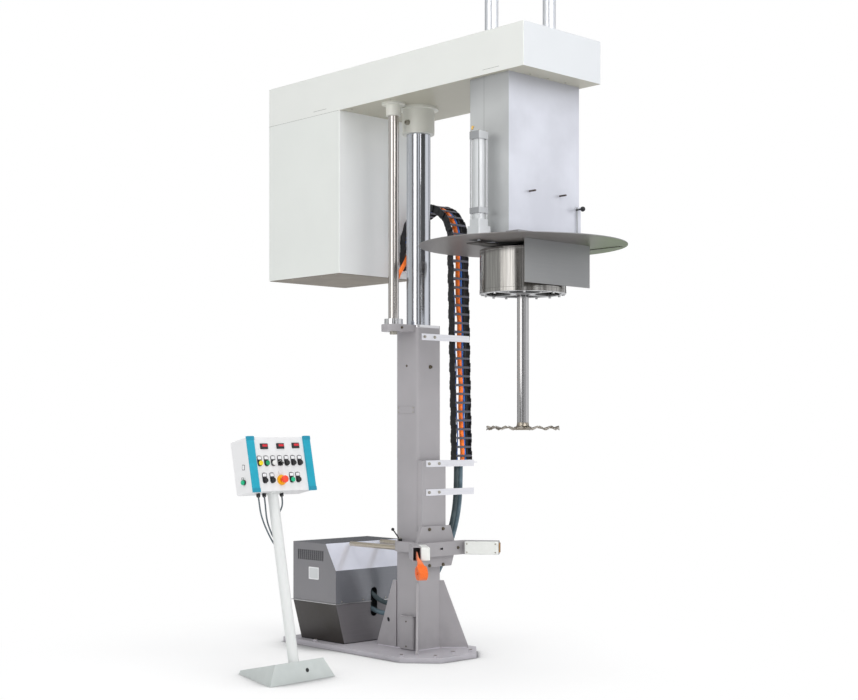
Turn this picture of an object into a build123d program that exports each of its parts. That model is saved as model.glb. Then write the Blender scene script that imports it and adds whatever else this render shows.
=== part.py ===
from build123d import *
import math
import os

os.makedirs("parts", exist_ok=True)

# Driving dimensions, in millimetres. The origin is on the floor under the axis of the lifting ram;
# +Z is up, the mill hangs at -Y, the motor at +Y, and +X is the right side seen from the mill.

# Clearances
face_gap = 0.3          # between flat or soft pieces that pass each other
run_gap = 0.05          # per side, a rod or shaft in its bush
slide_gap = 1.0         # per side, a rod that passes a sheet without touching it

# Base plate
plate_thickness = 30
plate_left_front = -355
plate_left_rear = -316
plate_right = 290
plate_front_y = -405
plate_shoulder_y = -219
plate_rear_y = 967
plate_nose_left = -190
plate_nose_right = 105
anchor_places = [(-314, -185), (-186, -347), (-1, -309), (132, -327), (-287, 665)]
anchor_diameter = 16
anchor_head_across = 24

# Column
column_side = 200
column_wall = 12
column_corner = 20
column_top = 2020
column_cap = 16
rail_depth = 40
rail_top = 1200
column_bush_play = 0.5
gusset_reach = 172
gusset_land = 20
gusset_height = 420
gusset_thickness = 15
gusset_root = 8
gusset_toe = 12
cover_front_y = -84
cover_rear_y = 44
cover_depth = 25
cover_low = 35
cover_high = 236

# Lifting ram and guide rod
head_travel = 1100
ram_diameter = 150
ram_bore = 120
ram_low = 1700
ram_collar_diameter = 200
ram_collar_low = 3229
ram_flange_diameter = 250
ram_flange_thickness = 15
ram_head = 30
bush_depth = 80
lower_bush_low = 1780
lower_bush_height = 60
cylinder_barrel = 90
cylinder_bore = 60
cylinder_top = 1640
cylinder_foot = 150
cylinder_foot_height = 25
cylinder_gland = 102
cylinder_gland_height = 40
piston_low = 1560
piston_height = 50
piston_rod = 45
guide_x = -210
guide_diameter = 65
guide_nose_length = 18
guide_nose_diameter = 46
guide_collar_diameter = 94
guide_collar_low = 3316
guide_flange_diameter = 146
guide_flange_thickness = 12
bracket_drop = 27
bracket_depth = 42
bracket_radius = 75
guide_sleeve_wall = 12
guide_ring_diameter = 114
guide_ring_height = 34

# Swinging head: beam, motor box and mill housing
beam_half = 330
beam_front_y = -1195
beam_rear_y = 1098
beam_low = 3395
beam_high = 3642
beam_sheet = 6
beam_floor = 20
box_front_y = 375
box_low = 2373
box_sheet = 4
mill_y = -885
housing_half = 300
housing_front_y = -1055
housing_side_y = -753
housing_rear_y = -715
housing_facet = 38
housing_sheet = 4
housing_low = 2459
stub_x = 130
stub_z = 2740
stub_diameter = 10
stub_length = 48
channel_width = 24
channel_depth = 14
channel_length = 231
channel_inset = 1
knob_z = 2675
knob_inset = 25
knob_stem = 10
knob_ball = 30
knob_reach = 50
knob_seat = 20

# Drive
shaft_diameter = 68
shaft_low = 1400
shaft_high = 3566
pulley_low = 3450
pulley_height = 80
mill_pulley_radius = 120
motor_pulley_radius = 95
belt_thickness = 8
flange_lip = 6
motor_y = 735
motor_diameter = 380
motor_low = 2690
motor_flange = 450
motor_shaft = 60
motor_shaft_depth = 100
motor_fins = 20
motor_fin_depth = 16
motor_fin_width = 8
motor_cowl = 60
motor_cowl_diameter = 368
motor_neck = 40
motor_flange_thickness = 20
vent_mouth_x = -170
vent_mouth_y = 790
vent_mouth_width = 180
vent_mouth_length = 360
box_floor_rise = 3
quill_flange = 220
quill_flange_thickness = 20
quill_clearance = 8
quill_diameter = 150
quill_bore = 120
quill_low = 2475
bearing_height = 33

# Lid and its fittings
lid_diameter = 1210
lid_sheet = 4
lid_low = 2455
lid_bore_gap = 20
port_x = -330
port_y = -1180
port_width = 170
port_length = 110
port_rise = 22
baffle_half = 278
baffle_y = -1155
baffle_low = 2210
baffle_sheet = 3
baffle_flange = 24
hatch_left = 306
hatch_right = 452
hatch_front_y = -1290
hatch_rear_y = -1000
hatch_lap = 14
hatch_sheet = 4
hinge_pin = 8
hinge_wall = 3
hinge_ear = 30
hinge_ear_inset = 20
hinge_barrel = 79
hinge_barrel_inset = 51
hinge_pin_inset = 10
hinge_pin_length = 120
handle_x = 362
handle_y = -1110
handle_span = 76
handle_height = 62
handle_rod = 9

# Basket and its lift
basket_travel = 400
basket_diameter = 500
basket_wall = 8
basket_low = 2186
basket_high = 2430
ring_thickness = 11
spoke_count = 8
spoke_width = 26
ring_hub = 150
rim_width = 34
basket_bolts = 16
bolt_inset = 15
bolt_drop = 9
bolt_across = 16
ring_play = 8
carrier_low = 2436
carrier_sheet = 8
carrier_width = 90
carrier_hub = 260
carrier_bore = 128
carrier_left_end = 22
carrier_right_end = 42
carrier_shift = 10
spacer_outer = 256
spacer_inner = 224
basket_mouth = 200
basket_cover = 10
rod_x = 246
rod_y = -870
rod_diameter = 78
rod_top = 4100
rod_sleeve_wall = 10
motor_shaft_gap = 15
rotor_diameter = 430
rotor_hub = 110
rotor_clearance = 20
rotor_ring = 30
rotor_ring_thickness = 16
rotor_arm = 40
rotor_arms = 3
rotor_ring_heights = [50, 130]
air_x = -390
air_y = -910
air_side = 75
air_barrel = 64
air_bore = 50
air_high = 3060
air_low = 2530
air_cap = 38
air_flange = 128
air_foot = 100
air_rod = 20
air_flange_thickness = 14
air_end_wall = 12
air_piston = 25
air_piston_drop = 45
air_fitting_x = 20
air_fitting_y = 10
air_fitting = 14
tie_rod = 8

# Toothed disc
disc_diameter = 425
disc_sheet = 5
disc_hub = 110
disc_hub_height = 35
tooth_count = 16
tooth_width = 56
tooth_rise = 14
tooth_twist = 20
tooth_seat = 12
tooth_lip = 4
tooth_root = 2

# Energy chain
chain_pitch = 56
chain_height = 50
chain_width = 143
chain_foot = 1196
chain_foot_x = 236
chain_front_y = -97
chain_radius = 210
fixed_links = 25
loop_links = 12
moving_links = 3
link_plate = 5
link_bar = 14
link_step = 1.4
link_play = 2.2
link_lap = 9
link_corner = 12
link_bar_sheet = 5
shelf_sheet = 6
hose_inset = 24
hose_spacing = 38
strip_left = -70
strip_right = 345
strip_height = 40
strip_sheet = 5
strip_top_drop = 57
strip_bolt_places = [25, 110]
strip_mid_z = 1180
strip_low_z = 1003

# Vessel clamp
hexagon_top = 796
hexagon_wide = 660
hexagon_low = 545
hexagon_top_half = 122
hexagon_half = 170
hexagon_low_half = 130
hexagon_sheet = 20
hexagon_bolt_x = 58
hexagon_bolt_drop = 19
hexagon_bolt_rise = 10
hexagon_bolt = 18
hexagon_bolt_head = 7
cheek_sheet = 10
yoke_half = 197.5
yoke_rear_y = -160
yoke_depth = 40
yoke_low = 613
yoke_high = 698
arm_length = 220
arm_angle = 37
arm_depth = 52
arm_sheet = 4
pad_depth = 52
pad_height = 80
pad_start = 20
tube_x = 130
tube_z = 657
tube_diameter = 30
tube_rear_y = 495
block_low = 638
block_high = 700
block_outer = 160
block_rear_y = 50
block_corner = 14
yoke_hole = 12
yoke_bolt_x = 148.5
lever_y = 28
lever_ball = 20
lever_stem = 8
lever_rise = 72
lever_reach = 32
lever_hub = 26
lever_hub_height = 14
strap_width = 53
strap_sheet = 3
strap_tongue = 90
strap_outside = 25
strap_neck = 24
strap_lean = 26
roll_diameter = 90
roll_bore = 18
roll_z = 546
roll_turn = -23.5

# Hydraulic unit
tray_half = 250
hood_half = 320
unit_front_y = 420
unit_rear_y = 850
waist_z = 288
hood_slope_low = 499
hood_slope_y = 520
hood_top = 664
unit_sheet = 3
slot_width = 55
slot_low = 188
slot_high = 375
vent_low = 552
vent_high = 617
vent_front_y = 540
vent_rear_y = 805
vent_columns = 13
vent_rows = 5
vent_length = 11
vent_width = 5
vent_slant = 45
tank_width = 400
tank_length = 300
tank_height = 330
tank_back = 30
tank_corner = 20
pump_diameter = 160
pump_height = 250
hose_diameter = 30

# Control pedestal
foot_x = -1183
foot_y = -331.5
foot_turn = 4.3
foot_half = 244.5
foot_depth = 460
foot_rear_half = 72
ridge_half = 180
ridge_back = 30
ridge_z = 110
foot_slope = 12
foot_wall = 5
post_diameter = 60
post_wall = 4
post_foot_y = -258
post_offset = -30
post_sink = 30
post_flange_width = 84
post_flange_length = 100
post_flange_sheet = 6
panel_tilt = 12
panel_x = -1183
panel_y = -165
panel_z = 1050
panel_width = 446
panel_height = 305
panel_depth = 145
panel_wall = 3
panel_corner = 8
side_button_y = 62
side_button_depth = 62
display_places = [(-106, 253), (8, 254), (117, 256)]
display_width = 50
display_height = 29
display_depth = 6
label_width = 27
label_height = 16
label_depth = 2
label_rise = 30
estop_label_rise = 44
strip_bar = 49
strip_bar_depth = 12
button_pitch = 47
row_one = 157
row_two = 60
row_one_start = -149
row_two_places = [-128, -76, 61, 106]
estop_place = -13
bezel_diameter = 30
bezel_depth = 7
button_diameter = 23
button_stem = 18
button_inside = 22
selector_width = 9
selector_length = 20.5
selector_height = 20
button_travel = 4
estop_disc_diameter = 58
estop_head = 40
estop_head_height = 18
estop_edge = 6
estop_out = 45
gland_places = [-132, -91, 32]
gland_diameter = 20
gland_length = 22
panel_cable = 9

# Places worked out from the sizes above
column_half = column_side / 2
rail_y = -column_half - rail_depth
bracket_low = column_top - bracket_drop
bracket_high = bracket_low + bracket_depth
strip_top_z = column_top - strip_top_drop
ram_head_low = beam_low - ram_flange_thickness - ram_head
lid_top = lid_low + lid_sheet
loop_y = chain_front_y + chain_height / 2 + chain_radius
loop_z = chain_foot + fixed_links * chain_pitch
shelf_low = chain_foot - link_lap - shelf_sheet
panel_plane = Plane(origin=(panel_x, panel_y, panel_z), x_dir=(1, 0, 0),
                    z_dir=(0, -math.cos(math.radians(panel_tilt)), math.sin(math.radians(panel_tilt))))

panel_axis = Axis(panel_plane.origin, panel_plane.z_dir)


# Base plate with its anchor bolt heads
with BuildPart() as base_plate:
    with BuildSketch(Plane.XY):
        with BuildLine():
            Polyline((plate_nose_left, plate_front_y), (plate_nose_right, plate_front_y),
                     (plate_right, plate_shoulder_y), (plate_right, plate_rear_y),
                     (plate_left_rear, plate_rear_y), (plate_left_front, plate_shoulder_y), close=True)
        make_face()
    extrude(amount=plate_thickness)
    fillet(base_plate.edges().filter_by(Axis.Z), 12)
    with BuildSketch(Plane.XY.offset(plate_thickness)):
        with Locations(*anchor_places):
            RegularPolygon(anchor_head_across / 2, 6, major_radius=False)
    extrude(amount=10)
    with BuildSketch(Plane.XY.offset(plate_thickness)):
        with Locations(*anchor_places):
            Circle(anchor_diameter)
    extrude(amount=3)
base_plate.part.label = "base_plate"
export_step(base_plate.part, "parts/base_plate.step")

# Column weldment: tube, front rail and four gussets
with BuildPart() as column:
    with BuildSketch(Plane.XY.offset(plate_thickness)):
        RectangleRounded(column_side, column_side, column_corner)
        Rectangle(column_side - 2 * column_wall, column_side - 2 * column_wall, mode=Mode.SUBTRACT)
    extrude(amount=column_top - plate_thickness)
    with BuildSketch(Plane.XY.offset(hexagon_low)):
        with Locations((0, rail_y + rail_depth / 2 + 1)):
            Rectangle(column_side, rail_depth + 2)
    extrude(amount=rail_top - hexagon_low)
    for side in (-1, 1):
        front_root = (side * (column_half - gusset_root), gusset_root - column_half, plate_thickness)
        front_gusset = Plane(origin=front_root, x_dir=(side, -1, 0), z_dir=(-1, -side, 0))
        rear_root = (side * (column_half - gusset_thickness / 2), column_half - 2, plate_thickness)
        rear_gusset = Plane(origin=rear_root, x_dir=(0, 1, 0), z_dir=(1, 0, 0))
        for plane in (front_gusset, rear_gusset):
            with BuildSketch(plane):
                with BuildLine():
                    Polyline((0, 0), (gusset_reach + gusset_root, 0),
                             (gusset_reach + gusset_root, gusset_toe),
                             (gusset_land + gusset_root, gusset_height), (0, gusset_height), close=True)
                make_face()
            extrude(amount=gusset_thickness / 2, both=True)
column.part.label = "column"
export_step(column.part, "parts/column.step")

# Access cover with a hooded lip, on the left face of the column
with BuildPart() as access_cover:
    with BuildSketch(Plane.YZ.offset(-column_half - cover_depth)):
        with Locations(((cover_front_y + cover_rear_y) / 2, (cover_low + cover_high) / 2)):
            Rectangle(cover_rear_y - cover_front_y, cover_high - cover_low)
    extrude(amount=cover_depth)
    chamfer(access_cover.faces().sort_by(Axis.X)[0].edges().filter_by(Axis.Z), 6)
    with BuildSketch(Plane.XY.offset(cover_high)):
        with Locations((-column_half - cover_depth / 2 - 4, (cover_front_y + cover_rear_y) / 2)):
            Rectangle(cover_depth + 8, cover_rear_y - cover_front_y + 8)
    extrude(amount=4)
access_cover.part.label = "access_cover"
export_step(access_cover.part, "parts/access_cover.step")

# Bracket for the guide rod, beside the top of the column
with BuildPart() as rod_bracket:
    with BuildSketch(Plane.XY.offset(bracket_low)):
        with BuildLine():
            Polyline((-column_half, -bracket_radius), (guide_x, -bracket_radius))
            RadiusArc((guide_x, -bracket_radius), (guide_x, bracket_radius), bracket_radius)
            Polyline((guide_x, bracket_radius), (-column_half, bracket_radius),
                     (-column_half, -bracket_radius))
        make_face()
        with Locations((guide_x, 0)):
            Circle(guide_diameter / 2 + guide_sleeve_wall, mode=Mode.SUBTRACT)
    extrude(amount=bracket_high - bracket_low)
rod_bracket.part.label = "rod_bracket"
export_step(rod_bracket.part, "parts/rod_bracket.step")

# Bushes: flanged ram bush on the column, lower ram bush inside it, flanged guide rod bush
with BuildPart() as guide_bushes:
    with BuildSketch(Plane.XY.offset(column_top)):
        RectangleRounded(column_side, column_side, column_corner)
        Circle(ram_diameter / 2 + run_gap, mode=Mode.SUBTRACT)
    extrude(amount=column_cap)
    with BuildSketch(Plane.XY.offset(column_top - bush_depth)):
        Circle(column_half - column_wall - column_bush_play)
        Circle(ram_diameter / 2 + run_gap, mode=Mode.SUBTRACT)
    extrude(amount=bush_depth)
    with BuildSketch(Plane.XY.offset(lower_bush_low)):
        Rectangle(column_side - 2 * column_wall, column_side - 2 * column_wall)
        Circle(ram_diameter / 2 + run_gap, mode=Mode.SUBTRACT)
    extrude(amount=lower_bush_height)
    with BuildSketch(Plane.XY.offset(bracket_high)):
        with Locations((guide_x, 0)):
            Circle(guide_ring_diameter / 2)
            Circle(guide_diameter / 2 + run_gap, mode=Mode.SUBTRACT)
    extrude(amount=guide_ring_height)
    with BuildSketch(Plane.XY.offset(bracket_low)):
        with Locations((guide_x, 0)):
            Circle(guide_diameter / 2 + guide_sleeve_wall - face_gap)
            Circle(guide_diameter / 2 + run_gap, mode=Mode.SUBTRACT)
    extrude(amount=bracket_high - bracket_low)
guide_bushes.part.label = "guide_bushes"
export_step(guide_bushes.part, "parts/guide_bushes.step")

# Hydraulic lift cylinder, standing inside the column and the hollow ram
with BuildPart() as lift_cylinder:
    with BuildSketch(Plane.XY.offset(plate_thickness)):
        Circle(cylinder_foot / 2)
    extrude(amount=cylinder_foot_height)
    with BuildSketch(Plane.XY.offset(plate_thickness + cylinder_foot_height)):
        Circle(cylinder_barrel / 2)
        Circle(cylinder_bore / 2, mode=Mode.SUBTRACT)
    extrude(amount=cylinder_top - plate_thickness - cylinder_foot_height)
    with BuildSketch(Plane.XY.offset(cylinder_top)):
        Circle(cylinder_gland / 2)
        Circle(piston_rod / 2 + run_gap, mode=Mode.SUBTRACT)
    extrude(amount=cylinder_gland_height)
lift_cylinder.part.label = "lift_cylinder"
export_step(lift_cylinder.part, "parts/lift_cylinder.step")

# Hollow ram with its collar, its flange under the beam, and the piston and rod that lift it
with BuildPart() as lift_ram:
    with BuildSketch(Plane.XY.offset(ram_low)):
        Circle(ram_diameter / 2)
        Circle(ram_bore / 2, mode=Mode.SUBTRACT)
    extrude(amount=ram_head_low - ram_low)
    with BuildSketch(Plane.XY.offset(ram_head_low)):
        Circle(ram_diameter / 2)
    extrude(amount=ram_head)
    with BuildSketch(Plane.XY.offset(ram_collar_low)):
        Circle(ram_collar_diameter / 2)
        Circle(ram_diameter / 2 - 5, mode=Mode.SUBTRACT)
    extrude(amount=beam_low - ram_flange_thickness - ram_collar_low)
    with BuildSketch(Plane.XY.offset(beam_low - ram_flange_thickness)):
        Circle(ram_flange_diameter / 2)
    extrude(amount=ram_flange_thickness)
    with BuildSketch(Plane.XY.offset(piston_low)):
        Circle(cylinder_bore / 2 - run_gap)
    extrude(amount=piston_height)
    with BuildSketch(Plane.XY.offset(piston_low + piston_height)):
        Circle(piston_rod / 2)
    extrude(amount=ram_head_low - piston_low - piston_height)
lift_ram.part.label = "lift_ram"
export_step(lift_ram.part, "parts/lift_ram.step")

# Guide rod with its collar and flange, and the bronze nose under the bracket
with BuildPart() as guide_rod:
    with BuildSketch(Plane.XY.offset(bracket_low - guide_nose_length)):
        with Locations((guide_x, 0)):
            Circle(guide_nose_diameter / 2)
    extrude(amount=guide_nose_length)
    with BuildSketch(Plane.XY.offset(bracket_low)):
        with Locations((guide_x, 0)):
            Circle(guide_diameter / 2)
    extrude(amount=beam_low - bracket_low)
    with BuildSketch(Plane.XY.offset(guide_collar_low)):
        with Locations((guide_x, 0)):
            Circle(guide_collar_diameter / 2)
    extrude(amount=beam_low - guide_collar_low)
    with BuildSketch(Plane.XY.offset(beam_low - guide_flange_thickness)):
        with Locations((guide_x, 0)):
            Circle(guide_flange_diameter / 2)
    extrude(amount=guide_flange_thickness)
guide_rod.part.label = "guide_rod"
export_step(guide_rod.part, "parts/guide_rod.step")

# Beam: a closed sheet housing on a thick floor, with bushes for the lift rods
beam_mid_y = (beam_front_y + beam_rear_y) / 2
beam_length = beam_rear_y - beam_front_y
with BuildPart() as beam_housing:
    with BuildSketch(Plane.XY.offset(beam_low)):
        with Locations((0, beam_mid_y)):
            RectangleRounded(2 * beam_half, beam_length, 6)
    extrude(amount=beam_high - beam_low)
    with BuildSketch(Plane.XY.offset(beam_low + beam_floor)):
        with Locations((0, beam_mid_y)):
            Rectangle(2 * (beam_half - beam_sheet), beam_length - 2 * beam_sheet)
    extrude(amount=beam_high - beam_low - beam_floor - beam_sheet, mode=Mode.SUBTRACT)
    with BuildSketch(Plane.XY.offset(beam_low)):
        with Locations((0, mill_y)):
            Circle(quill_diameter / 2 - quill_clearance)
        with Locations((0, motor_y)):
            Circle(motor_shaft / 2 + motor_shaft_gap)
    extrude(amount=beam_floor, mode=Mode.SUBTRACT)
    with BuildSketch(Plane.XY.offset(beam_low)):
        with Locations((-rod_x, rod_y), (rod_x, rod_y)):
            Circle(rod_diameter / 2 + rod_sleeve_wall)
    extrude(amount=beam_high - beam_low)
    with BuildSketch(Plane.XY.offset(beam_low)):
        with Locations((-rod_x, rod_y), (rod_x, rod_y)):
            Circle(rod_diameter / 2 + run_gap)
    extrude(amount=beam_high - beam_low, mode=Mode.SUBTRACT)
beam_housing.part.label = "beam_housing"
export_step(beam_housing.part, "parts/beam_housing.step")

# Motor box: sheet walls under the beam and a floor with an air opening
with BuildPart() as motor_box:
    with BuildSketch(Plane.XY.offset(box_low)):
        with Locations((0, (box_front_y + beam_rear_y) / 2)):
            RectangleRounded(2 * beam_half, beam_rear_y - box_front_y, 6)
            Rectangle(2 * (beam_half - box_sheet), beam_rear_y - box_front_y - 2 * box_sheet,
                      mode=Mode.SUBTRACT)
    extrude(amount=beam_low - box_low)
    with BuildSketch(Plane.XY.offset(box_low + box_floor_rise)):
        with Locations((0, (box_front_y + beam_rear_y) / 2)):
            Rectangle(2 * beam_half - box_sheet, beam_rear_y - box_front_y - box_sheet)
        with Locations((vent_mouth_x, vent_mouth_y)):
            Rectangle(vent_mouth_width, vent_mouth_length, mode=Mode.SUBTRACT)
    extrude(amount=box_sheet)
motor_box.part.label = "motor_box"
export_step(motor_box.part, "parts/motor_box.step")

# Drive motor: ribbed body and flange, with a bore for its shaft
with BuildPart() as drive_motor:
    with BuildSketch(Plane.XY.offset(motor_low)):
        with Locations((0, motor_y)):
            Circle(motor_diameter / 2 - motor_fin_depth)
            with PolarLocations(motor_diameter / 2 - motor_fin_depth, motor_fins):
                Rectangle(2 * motor_fin_depth, motor_fin_width)
    extrude(amount=beam_low - motor_flange_thickness - motor_neck - motor_low)
    with BuildSketch(Plane.XY.offset(motor_low - motor_cowl)):
        with Locations((0, motor_y)):
            Circle(motor_cowl_diameter / 2)
    extrude(amount=motor_cowl)
    with BuildSketch(Plane.XY.offset(beam_low - motor_flange_thickness - motor_neck)):
        with Locations((0, motor_y)):
            Circle(motor_diameter / 2)
    extrude(amount=motor_neck)
    with BuildSketch(Plane.XY.offset(beam_low - motor_flange_thickness)):
        with Locations((0, motor_y)):
            Circle(motor_flange / 2)
    extrude(amount=motor_flange_thickness)
    with BuildSketch(Plane.XY.offset(motor_low + motor_shaft_depth)):
        with Locations((0, motor_y)):
            Circle(motor_shaft / 2 + run_gap)
    extrude(amount=beam_low - motor_low - motor_shaft_depth, mode=Mode.SUBTRACT)
drive_motor.part.label = "drive_motor"
export_step(drive_motor.part, "parts/drive_motor.step")

# Motor pulley on the motor's shaft
with BuildPart() as motor_pulley:
    with BuildSketch(Plane.XY.offset(motor_low + motor_shaft_depth + slide_gap)):
        with Locations((0, motor_y)):
            Circle(motor_shaft / 2)
    extrude(amount=pulley_low - motor_low - motor_shaft_depth - slide_gap)
    with BuildSketch(Plane.XY.offset(pulley_low)):
        with Locations((0, motor_y)):
            Circle(motor_pulley_radius)
    extrude(amount=pulley_height)
    for low in (pulley_low - flange_lip, pulley_low + pulley_height):
        with BuildSketch(Plane.XY.offset(low)):
            with Locations((0, motor_y)):
                Circle(motor_pulley_radius + belt_thickness)
        extrude(amount=flange_lip)
motor_pulley.part.label = "motor_pulley"
export_step(motor_pulley.part, "parts/motor_pulley.step")

# Flat drive belt around both pulleys
with BuildPart() as drive_belt:
    with BuildSketch(Plane.XY.offset(pulley_low + slide_gap)):
        with Locations((0, motor_y)):
            Circle(motor_pulley_radius + face_gap + belt_thickness)
        with Locations((0, mill_y)):
            Circle(mill_pulley_radius + face_gap + belt_thickness)
        make_hull()
    extrude(amount=pulley_height - 2 * slide_gap)
    with BuildSketch(Plane.XY.offset(pulley_low + slide_gap)):
        with Locations((0, motor_y)):
            Circle(motor_pulley_radius + face_gap)
        with Locations((0, mill_y)):
            Circle(mill_pulley_radius + face_gap)
        make_hull()
    extrude(amount=pulley_height - 2 * slide_gap, mode=Mode.SUBTRACT)
drive_belt.part.label = "drive_belt"
export_step(drive_belt.part, "parts/drive_belt.step")

# Mill housing: brushed sheet duct with chamfered rear corners, a side seam and two front stubs
with BuildPart() as mill_housing:
    with BuildSketch(Plane.XY.offset(housing_low)):
        with BuildLine():
            Polyline((-housing_half, housing_front_y), (housing_half, housing_front_y),
                     (housing_half, housing_side_y), (housing_half - housing_facet, housing_rear_y),
                     (housing_facet - housing_half, housing_rear_y), (-housing_half, housing_side_y),
                     close=True)
        make_face()
        offset(amount=-housing_sheet, mode=Mode.SUBTRACT)
    extrude(amount=beam_low - housing_low)
    with BuildSketch(Plane.XZ.offset(-housing_front_y)):
        with Locations((-stub_x, stub_z), (stub_x, stub_z)):
            Circle(stub_diameter / 2)
    extrude(amount=stub_length)
    with BuildSketch(Plane.XZ.offset(-housing_front_y)):
        with Locations((housing_half - channel_inset - channel_width / 2, housing_low + channel_length / 2)):
            Rectangle(channel_width, channel_length)
    extrude(amount=channel_depth)
    with BuildSketch(Plane.XZ.offset(-housing_front_y)):
        with Locations((housing_half - knob_inset, knob_z)):
            Circle(knob_stem / 2 + run_gap)
    extrude(amount=knob_seat + knob_stem, both=True, mode=Mode.SUBTRACT)
mill_housing.part.label = "mill_housing"
export_step(mill_housing.part, "parts/mill_housing.step")

# Index knob: a ball on a plunger through the housing's front corner
with BuildPart() as index_knob:
    with BuildSketch(Plane.XZ.offset(-housing_front_y - knob_seat)):
        with Locations((housing_half - knob_inset, knob_z)):
            Circle(knob_stem / 2)
    extrude(amount=knob_seat + knob_reach - knob_ball / 3)
    with Locations((housing_half - knob_inset, housing_front_y - knob_reach, knob_z)):
        Sphere(knob_ball / 2)
index_knob.part.label = "index_knob"
export_step(index_knob.part, "parts/index_knob.step")

# Spindle housing under the beam: quill tube, flange and two bearings
with BuildPart() as spindle_housing:
    with BuildSketch(Plane.XY.offset(quill_low)):
        with Locations((0, mill_y)):
            Circle(quill_diameter / 2)
            Circle(quill_bore / 2, mode=Mode.SUBTRACT)
    extrude(amount=beam_low - quill_low)
    with BuildSketch(Plane.XY.offset(beam_low - quill_flange_thickness)):
        with Locations((0, mill_y)):
            Circle(quill_flange / 2)
            Circle(quill_bore / 2, mode=Mode.SUBTRACT)
    extrude(amount=quill_flange_thickness)
    for low in (quill_low, beam_low - bearing_height):
        with BuildSketch(Plane.XY.offset(low)):
            with Locations((0, mill_y)):
                Circle(quill_bore / 2 + 2)
                Circle(shaft_diameter / 2 + run_gap, mode=Mode.SUBTRACT)
        extrude(amount=bearing_height)
spindle_housing.part.label = "spindle_housing"
export_step(spindle_housing.part, "parts/spindle_housing.step")

# Mill shaft with its pulley
with BuildPart() as mill_shaft:
    with BuildSketch(Plane.XY.offset(shaft_low + disc_hub_height / 2)):
        with Locations((0, mill_y)):
            Circle(shaft_diameter / 2)
    extrude(amount=shaft_high - shaft_low - disc_hub_height / 2)
    with BuildSketch(Plane.XY.offset(pulley_low)):
        with Locations((0, mill_y)):
            Circle(mill_pulley_radius)
    extrude(amount=pulley_height)
    for low in (pulley_low - flange_lip, pulley_low + pulley_height):
        with BuildSketch(Plane.XY.offset(low)):
            with Locations((0, mill_y)):
                Circle(mill_pulley_radius + belt_thickness)
        extrude(amount=flange_lip)
mill_shaft.part.label = "mill_shaft"
export_step(mill_shaft.part, "parts/mill_shaft.step")

# Toothed disc: a plate whose rim is cut into teeth bent up and down in turn, on a hub
with BuildPart() as dissolver_disc:
    with BuildSketch(Plane.XY.offset(shaft_low - disc_sheet / 2)):
        with Locations((0, mill_y)):
            Circle(disc_diameter / 2 - tooth_rise)
    extrude(amount=disc_sheet)
    with BuildSketch(Plane.XY.offset(shaft_low - disc_hub_height / 2)):
        with Locations((0, mill_y)):
            Circle(disc_hub / 2)
    extrude(amount=disc_hub_height)
    for index in range(tooth_count):
        rise = tooth_rise if index % 2 else -tooth_rise
        angle = index * 360 / tooth_count
        bearing = math.radians(angle)
        heading = math.radians(angle + 90 - tooth_twist)
        seat = disc_diameter / 2 - tooth_seat
        tooth_plane = Plane(origin=(seat * math.cos(bearing), mill_y + seat * math.sin(bearing), shaft_low),
                            x_dir=(math.cos(heading), math.sin(heading), 0),
                            z_dir=(math.sin(heading), -math.cos(heading), 0))
        with BuildSketch(tooth_plane):
            with BuildLine():
                Polyline((-tooth_width / 2, 0), (-tooth_width / 4, rise), (tooth_width / 4, rise),
                         (tooth_width / 2, 0),
                         (tooth_width / 2 - tooth_lip, -math.copysign(tooth_root, rise)),
                         (tooth_lip - tooth_width / 2, -math.copysign(tooth_root, rise)), close=True)
            make_face()
        extrude(amount=disc_sheet / 2, both=True)
dissolver_disc.part.label = "dissolver_disc"
export_step(dissolver_disc.part, "parts/dissolver_disc.step")

# Lid: thin disc with its openings, the bent baffle plate under its front and a low port cover
with BuildPart() as lid:
    with BuildSketch(Plane.XY.offset(lid_low)):
        with Locations((0, mill_y)):
            Circle(lid_diameter / 2)
            Circle(quill_diameter / 2 + lid_bore_gap, mode=Mode.SUBTRACT)
        with Locations((-rod_x, rod_y), (rod_x, rod_y)):
            Circle(rod_diameter / 2 + slide_gap, mode=Mode.SUBTRACT)
        with Locations((air_x, air_y)):
            Circle(air_rod / 2 + slide_gap, mode=Mode.SUBTRACT)
        with Locations(((hatch_left + hatch_right) / 2, (hatch_front_y + hatch_rear_y) / 2)):
            Rectangle(hatch_right - hatch_left - 2 * hatch_lap, hatch_rear_y - hatch_front_y - 2 * hatch_lap,
                      mode=Mode.SUBTRACT)
    extrude(amount=lid_sheet)
    with BuildSketch(Plane.XZ.offset(-baffle_y - baffle_sheet)):
        with Locations((0, (baffle_low + lid_low) / 2)):
            Rectangle(2 * baffle_half, lid_low - baffle_low)
    extrude(amount=baffle_sheet)
    with BuildSketch(Plane.XY.offset(lid_low - baffle_sheet)):
        with Locations((0, baffle_y + baffle_flange / 2)):
            Rectangle(2 * baffle_half, baffle_flange)
    extrude(amount=baffle_sheet)
    with BuildSketch(Plane.XY.offset(lid_top)):
        with Locations((port_x, port_y)):
            RectangleRounded(port_width, port_length, 10)
    extrude(amount=port_rise, taper=20)
    with BuildSketch(Plane.YZ.offset(hatch_left + hinge_ear_inset)):
        with Locations((hatch_rear_y + hinge_pin, lid_top + hinge_pin)):
            Circle(hinge_pin / 2 + hinge_wall)
        with Locations((hatch_rear_y + hinge_pin, lid_top + hinge_pin / 2)):
            Rectangle(hinge_pin + 2 * hinge_wall, hinge_pin)
        with Locations((hatch_rear_y + hinge_pin, lid_top + hinge_pin)):
            Circle(hinge_pin / 2 + run_gap, mode=Mode.SUBTRACT)
    extrude(amount=hinge_ear)
lid.part.label = "lid"
export_step(lid.part, "parts/lid.step")

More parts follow.
